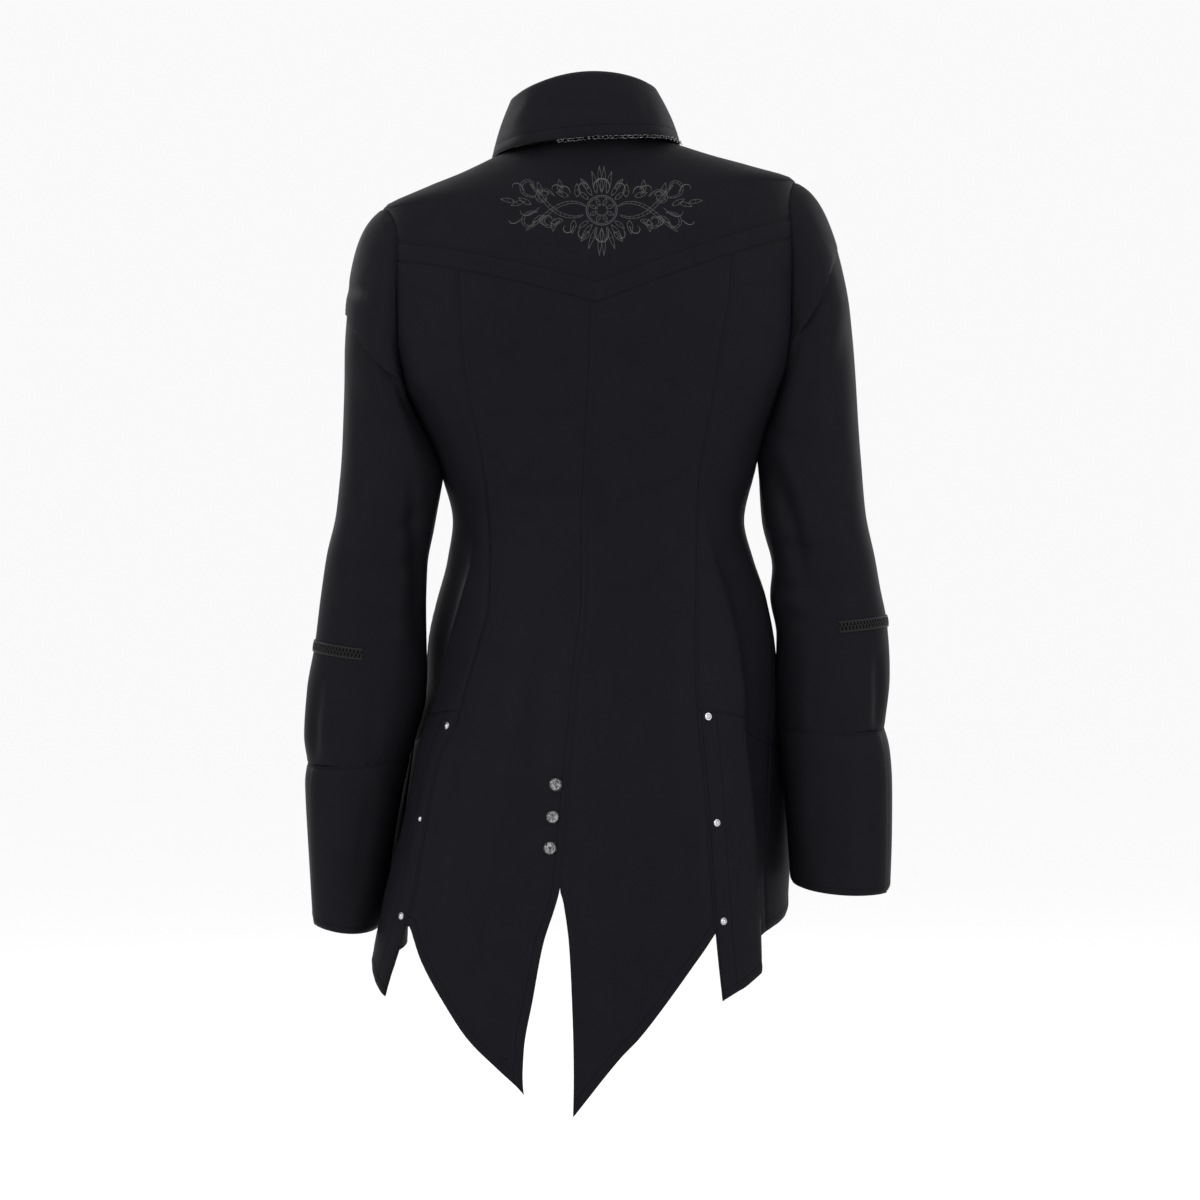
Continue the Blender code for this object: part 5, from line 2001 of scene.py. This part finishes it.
def off_body(points: Array) -> Array:
    """How far points stand off the body's surface, measured level from its middle."""
    x, y = points[..., 0], points[..., 1]
    level = level_at(x, points[..., 2])
    angle = np.radians(STANCE.of("turn", level))
    across = x - STANCE.of("shift", level)
    turn = np.degrees(np.arctan2(across, y) + angle)
    return np.hypot(across, y) - np.hypot(*section(turn, level))


def clear_of_body(points: Array, clear: Array) -> Array:
    """Points pushed away from the body's middle until they stand clear of its surface."""
    x, y = points[..., 0], points[..., 1]
    across = x - STANCE.of("shift", level_at(x, points[..., 2]))
    push = np.maximum(0, clear - off_body(points)) / np.hypot(across, y)
    return points + np.stack([across * push, y * push, 0 * push], axis=-1)


LEFT_SLEEVE_CREASES = creases(
    Face.BACK,
    (((166, -236), (182, -210), (198, -192), (212, -174), (224, -158), (234, -138)), 9, -2.2, 6.0),
    (((226, -190), (208, -216), (192, -240), (170, -300)), 11, 1.6),
    (((190, -206), (172, -236), (152, -284)), 7, -2.4),
    (((228, -124), (222, -131), (212, -138)), 5, -2.6),
    (((167, -308), (163, -390), (160, -475)), 7, -3.0),
    (((182, -320), (178, -400), (180, -470)), 9, 1.6),
    (((152, -330), (176, -352), (206, -362)), 8, -2.0),
    (((158, -376), (184, -392), (214, -396)), 8, -1.6),
    (((160, -430), (190, -440), (222, -436)), 9, -1.4),
    (((251, -498), (258, -540), (259, -566)), 5, -2.2),
    (((242, -500), (246, -540), (247, -566)), 6, 0.9),
    (((206, -520), (204, -545), (206, -566)), 7, -1.2),
) + creases(
    Face.FRONT,
    (((228, -150), (204, -178), (180, -215)), 10, -2.6),
    (((160, -330), (190, -350), (220, -352)), 9, -2.2),
    (((164, -390), (196, -404), (226, -400)), 9, -2.0),
    (((176, -470), (206, -478), (236, -470)), 8, -1.6),
)
RIGHT_SLEEVE_CREASES = creases(
    Face.BACK,
    (((-230, -90), (-221, -108), (-208, -138), (-190, -173), (-170, -224)), 9, -2.0, 5.0),
    (((-236, -130), (-224, -170), (-206, -214)), 11, 2.2),
    (((-165, -264), (-193, -271), (-220, -270)), 7, -2.4),
    (((-158, -279), (-184, -345), (-196, -400)), 8, -2.8),
    (((-176, -280), (-202, -340), (-214, -400)), 9, 1.8),
    (((-168, -364), (-196, -372), (-226, -366)), 8, -2.4),
    (((-164, -405), (-196, -410), (-230, -400)), 8, -2.2),
    (((-170, -430), (-200, -440), (-232, -436)), 8, -1.5),
    (((-263, -474), (-264, -510), (-263, -536)), 4.5, -2.2),
    (((-254, -474), (-255, -510), (-254, -536)), 6, 0.9),
    (((-206, -490), (-204, -515), (-206, -536)), 7, -1.2),
) + creases(
    Face.FRONT,
    (((-226, -140), (-206, -172), (-184, -205)), 10, -2.6),
    (((-168, -300), (-196, -322), (-228, -326)), 9, -2.2),
    (((-172, -380), (-204, -394), (-236, -390)), 9, -2.0),
    (((-184, -450), (-212, -458), (-244, -450)), 8, -1.6),
)
CUFF_CREASES = creases(
    Face.BACK,
    (((204, -590), (212, -640), (222, -700)), 10, -1.8),
    (((236, -590), (238, -650), (240, -710)), 10, 1.4),
    (((-204, -560), (-208, -620), (-206, -670)), 10, -1.6),
    (((-236, -560), (-240, -620), (-240, -676)), 10, 1.4),
)


@dataclass
class Sleeve:
    """A sleeve with the braid across its lower part and its deep slit cuff."""

    side: str
    sign: int
    table: Table
    cuff_table: Table
    fullness: float
    trim_level: float
    creases: tuple[Crease, ...]
    columns: int = 180
    cuff_columns: int = 100
    ease: float = 11.0
    cuff_round: float = 330.0
    cuff_stitch: float = 2.0
    cuff_hem: float = 6.0
    cuff_pucker: float = 0.1
    joined_roll: float = 0.4
    slit_lift: float = 0.6
    slit_ease: float = 34.0  # turn over which the upper edge sinks to the rest
    braid_points: int = 900
    braid_loops: int = 44

    def armhole_ring(self, around: Array) -> Array:
        """The armhole's edge in the sleeve's own turns, just outside the cloth round it."""
        c, s = cos_sin(around)
        middle, half = (SHOULDER_POINT + ARMPIT) / 2, (SHOULDER_POINT - ARMPIT) / 2
        level = middle + half * c
        back, front = armhole(self.sign, False)(level), armhole(self.sign, True)(level)
        turn = np.where(s >= 0, back, front)
        return body(turn, level) + body_normal(turn, level) * self._clear(around)[:, None]

    @staticmethod
    def _clear(around: Array) -> Array:
        """How far the armhole's edge stands off the body: least at the shoulder."""
        return 0.03 + 0.05 * (1 - np.cos(np.radians(around)))

    def sleeve(self) -> Cloth:
        """The sleeve: a cubic from the armhole's edge to its first section, then the sections."""
        around = np.arange(self.columns) * 360.0 / self.columns
        edge = self.armhole_ring(around)
        first = self.table.last
        ring = arm_ring(self.table, self.sign, first, around)
        below = arm_ring(self.table, self.sign, first - 12, around) - ring
        gap = np.linalg.norm(ring - edge, axis=-1, keepdims=True)
        c, s = cos_sin(around)
        high, back = (1 + c)[:, None] / 2, s[:, None]
        outwards = self.sign * (-0.35 + (0.35 + self.fullness) * high**0.6)
        leave = unit(np.concatenate([outwards, 0.22 * back, -0.85 + 0.25 * high], axis=1))
        leave = leave * gap * (0.5 + 0.2 * high)
        arrive = unit(below) * gap
        steps = crowded(float(gap.mean()), True, False, SLEEVE_PITCH)
        t = steps[:, None, None]
        head = (
            edge * (1 + 2 * t) * (1 - t) ** 2
            + ring * t**2 * (3 - 2 * t)
            + leave * t * (1 - t) ** 2
            - arrive * t**2 * (1 - t)
        )
        near = self._clear(around)[None, :]
        haste = 8 + 26 * (1 - c)[None, :]
        clear = near + (2 * WALL + ARMHOLE_CLEAR - near) * np.minimum(1, haste * steps[:, None])
        head[1:] = clear_of_body(head, clear)[1:]
        down = first - self.table.first
        levels = first - down * crowded(down, False, True, SLEEVE_PITCH)[1:, None]
        points = np.concatenate([head, arm_ring(self.table, self.sign, levels, around[None, :])])
        away = unit(points - points.mean(axis=1, keepdims=True))
        return Cloth(
            "cloth_sleeve_" + self.side,
            points,
            grid_normals(points, True, away),
            closed=True,
            edges={
                Side.TOP: Edge(pucker=0.25),
                Side.BOTTOM: Edge(pucker=0.3, roll=self.joined_roll),
            },
            creases=self.creases,
            calm=1.3,
            free=smooth_step(FREE_FROM, FREE_AT, off_body(points))[..., None],
        )

    def _away(self, arc: Array) -> Array:
        """Directions straight out of the sleeve."""
        c, s = cos_sin(arc)
        return np.stack([self.sign * c, s, 0 * arc], axis=-1)

    def cuff(self) -> Cloth:
        """The cuff: its own sections, eased from the sleeve's end by a bell of the height.

        The upper edge of its slit is lifted over the under one by a power of the way round.

        Returns:
            The cuff as cloth.
        """
        steps = crowded(self.cuff_round, True, True, self.cuff_round / self.cuff_columns)
        arc = SLIT_TURN + (360 + CUFF_LAP) * steps
        sunk = (arc - SLIT_TURN - CUFF_LAP) / self.slit_ease
        lifted = np.clip(1 - sunk, 0, 1) ** 1.5 * (CUFF_WALL + self.slit_lift)
        top = self.cuff_table.last - SEAM_GAP
        down = top - self.cuff_table.first
        levels = top - down * crowded(down, True, True)[:, None]
        points = arm_ring(self.cuff_table, self.sign, levels, arc[None, :])
        step = arm_ring(self.table, self.sign, self.table.first, arc) - points[0]
        points = points + step * (1, 1, 0) * np.exp(-(((top - levels) / self.ease) ** 2))[..., None]
        normal = grid_normals(points, False, np.broadcast_to(self._away(arc), points.shape))
        row = Edge((self.cuff_stitch,), pucker=self.cuff_pucker)
        return Cloth(
            "cloth_cuff_" + self.side,
            points + normal * lifted[None, :, None],
            normal,
            CUFF_WALL,
            edges={
                Side.TOP: Edge((self.cuff_stitch,), 0.0, self.cuff_pucker, self.joined_roll),
                Side.START: row,
                Side.END: row,
                Side.BOTTOM: Edge((self.cuff_hem,), pucker=self.cuff_pucker),
            },
            creases=CUFF_CREASES,
            calm=0.8,
        )

    def _on_sleeve(self, arc: Array, high: Array, lift: Array) -> tuple[Array, Array]:
        """Points and normals over the sleeve beside the braid's middle line."""
        level = self.trim_level + high
        at = arm_ring(self.table, self.sign, level, arc)
        across = arm_ring(self.table, self.sign, level, arc + 0.5) - at
        up = arm_ring(self.table, self.sign, level + 0.5, arc) - at
        normal = unit(np.cross(up, across)) * -self.sign
        normal = normal * np.sign(np.sum(normal * self._away(arc), -1, keepdims=True))
        total = normal * (WALL + lift + 1.3 * ripple(at))[..., None]
        for crease in self.creases:
            total = total + crease.moves(at, normal)
        return at + total, normal

    def braid(self) -> Mesh:
        """The braid: two edge cords and a looped one between them.

        The looped cord's height is a sine of the way along, and it swings back at twice the pace.

        Returns:
            One mesh of the three cords.
        """
        mesh = Mesh()
        arc = np.linspace(-TRIM_REACH, TRIM_REACH, self.braid_points)
        phase = (arc + TRIM_REACH) / (2 * TRIM_REACH) * self.braid_loops * TAU
        back = LOOP_SWING * np.sin(2 * phase)
        lift = 0.9 + 0.35 * np.cos(phase)
        looped, out = self._on_sleeve(arc + back, LOOP_HIGH * np.sin(phase), lift)
        mesh.add(*strands(looped[None], out[None], *LOOP_CORD, CORD_SIDES))
        arc, phase = arc[::3], phase[::3]
        for high in (-CORD_HIGH, CORD_HIGH):
            wander = np.full_like(arc, high) + CORD_WANDER * np.sin(phase * 2)
            cord, out = self._on_sleeve(arc, wander, np.full_like(arc, CORD_LIFT))
            mesh.add(*strands(cord[None], out[None], *EDGE_CORD, 8))
        return mesh

    def build(self, finishes: Finishes) -> None:
        """Makes the sleeve, the cuff with its topstitching, and the braid.

        Args:
            finishes: the blouse's finishes.
        """
        sleeve, cuff = self.sleeve(), self.cuff()
        hang(sleeve, finishes, "sleeve_" + self.side, ["yoke_back", "front_" + self.side])
        hang(cuff, finishes, "cuff_" + self.side, ["sleeve_" + self.side])
        sew(cuff, finishes)
        piece = self.braid().build("braid_trim_" + self.side, finishes.braid)
        settle_piece(piece, "black_trim", "trim_" + self.side)


# ---- studio


@dataclass(frozen=True)
class SoftBox:
    """A large soft lamp that looks at the garment."""

    name: str
    place: tuple[float, float, float]
    size: tuple[float, float]
    power: float
    aim: tuple[float, float, float] = (0.0, 0.0, -0.42)

    def build(self) -> None:
        """Makes the lamp, turned to its aim."""
        data = bpy.data.lights.new(self.name, "AREA")
        data.shape = "RECTANGLE"
        data.size, data.size_y = self.size
        data.energy = self.power
        lamp = bpy.data.objects.new(self.name, data)
        lamp.location = self.place
        lamp.rotation_euler = aim_angles(np.array(self.aim) - np.array(self.place))
        bpy.context.scene.collection.objects.link(lamp)


def aim_angles(way: Array) -> tuple[float, float, float]:
    """The turn about x and z that points an object's -Z along a way."""
    x, y, z = unit(way)
    return math.acos(-z), 0.0, math.atan2(-x, y)


@dataclass
class Studio:
    """Plain pale floor, white surroundings, soft lamps and the camera behind the garment."""

    floor_level: float = -1.25
    floor_size: float = 40.0
    surround: float = 0.95
    place: tuple[float, float, float] = (-0.0075, 3.3, -0.4192)
    lens: float = 105.3
    sensor: float = 36.0
    lamps: tuple[SoftBox, ...] = (
        SoftBox("key", (2.6, 2.6, 1.2), (1.6, 2.4), 34.0),
        SoftBox("fill", (-2.8, 2.4, 0.8), (1.6, 2.4), 26.0),
        SoftBox("front_key", (2.4, -2.8, 1.2), (1.6, 2.4), 28.0),
        SoftBox("front_fill", (-2.6, -2.4, 0.8), (1.6, 2.4), 22.0),
        SoftBox("top", (0.0, 0.3, 2.6), (2.4, 2.4), 16.0),
    )

    def build(self) -> None:
        """Makes the floor, the surroundings, the lamps and the camera."""
        half = self.floor_size / 2
        corners = np.array([[-half, -half], [half, -half], [half, half], [-half, half]])
        points = np.concatenate([corners, np.full((4, 1), self.floor_level)], 1) / MM
        mesh = Mesh()
        mesh.add(points, [np.arange(4)[None]])
        mesh.build("studio_floor", PaleFloor().material())
        world = bpy.data.worlds.new("studio_white")
        world.use_nodes = True
        world.node_tree.nodes["Background"].inputs[0].default_value = (self.surround,) * 3 + (1,)
        bpy.context.scene.world = world
        for lamp in self.lamps:
            lamp.build()
        data = bpy.data.cameras.new("camera")
        data.lens, data.sensor_width = self.lens, self.sensor
        camera = bpy.data.objects.new("camera", data)
        camera.location = self.place
        camera.rotation_euler = (math.pi / 2, 0.0, math.pi)
        bpy.context.scene.collection.objects.link(camera)
        bpy.context.scene.camera = camera
        bpy.context.scene.view_settings.view_transform = "Standard"


def main() -> None:
    """Builds the blouse class by class."""
    logging.basicConfig(level=logging.INFO, format="%(name)s: %(message)s")
    Studio().build()
    finishes = Finishes.make()
    Bodice().build(finishes)
    Embroidery().build(finishes)
    Collar().build(finishes)
    Fastenings().build(finishes)
    Sleeve("left", 1, LEFT_SLEEVE, LEFT_CUFF, 0.95, -467.0, LEFT_SLEEVE_CREASES).build(finishes)
    Sleeve("right", -1, RIGHT_SLEEVE, RIGHT_CUFF, 1.35, -443.0, RIGHT_SLEEVE_CREASES).build(finishes)
    bpy.context.view_layer.update()


if __name__ == "__main__":
    main()
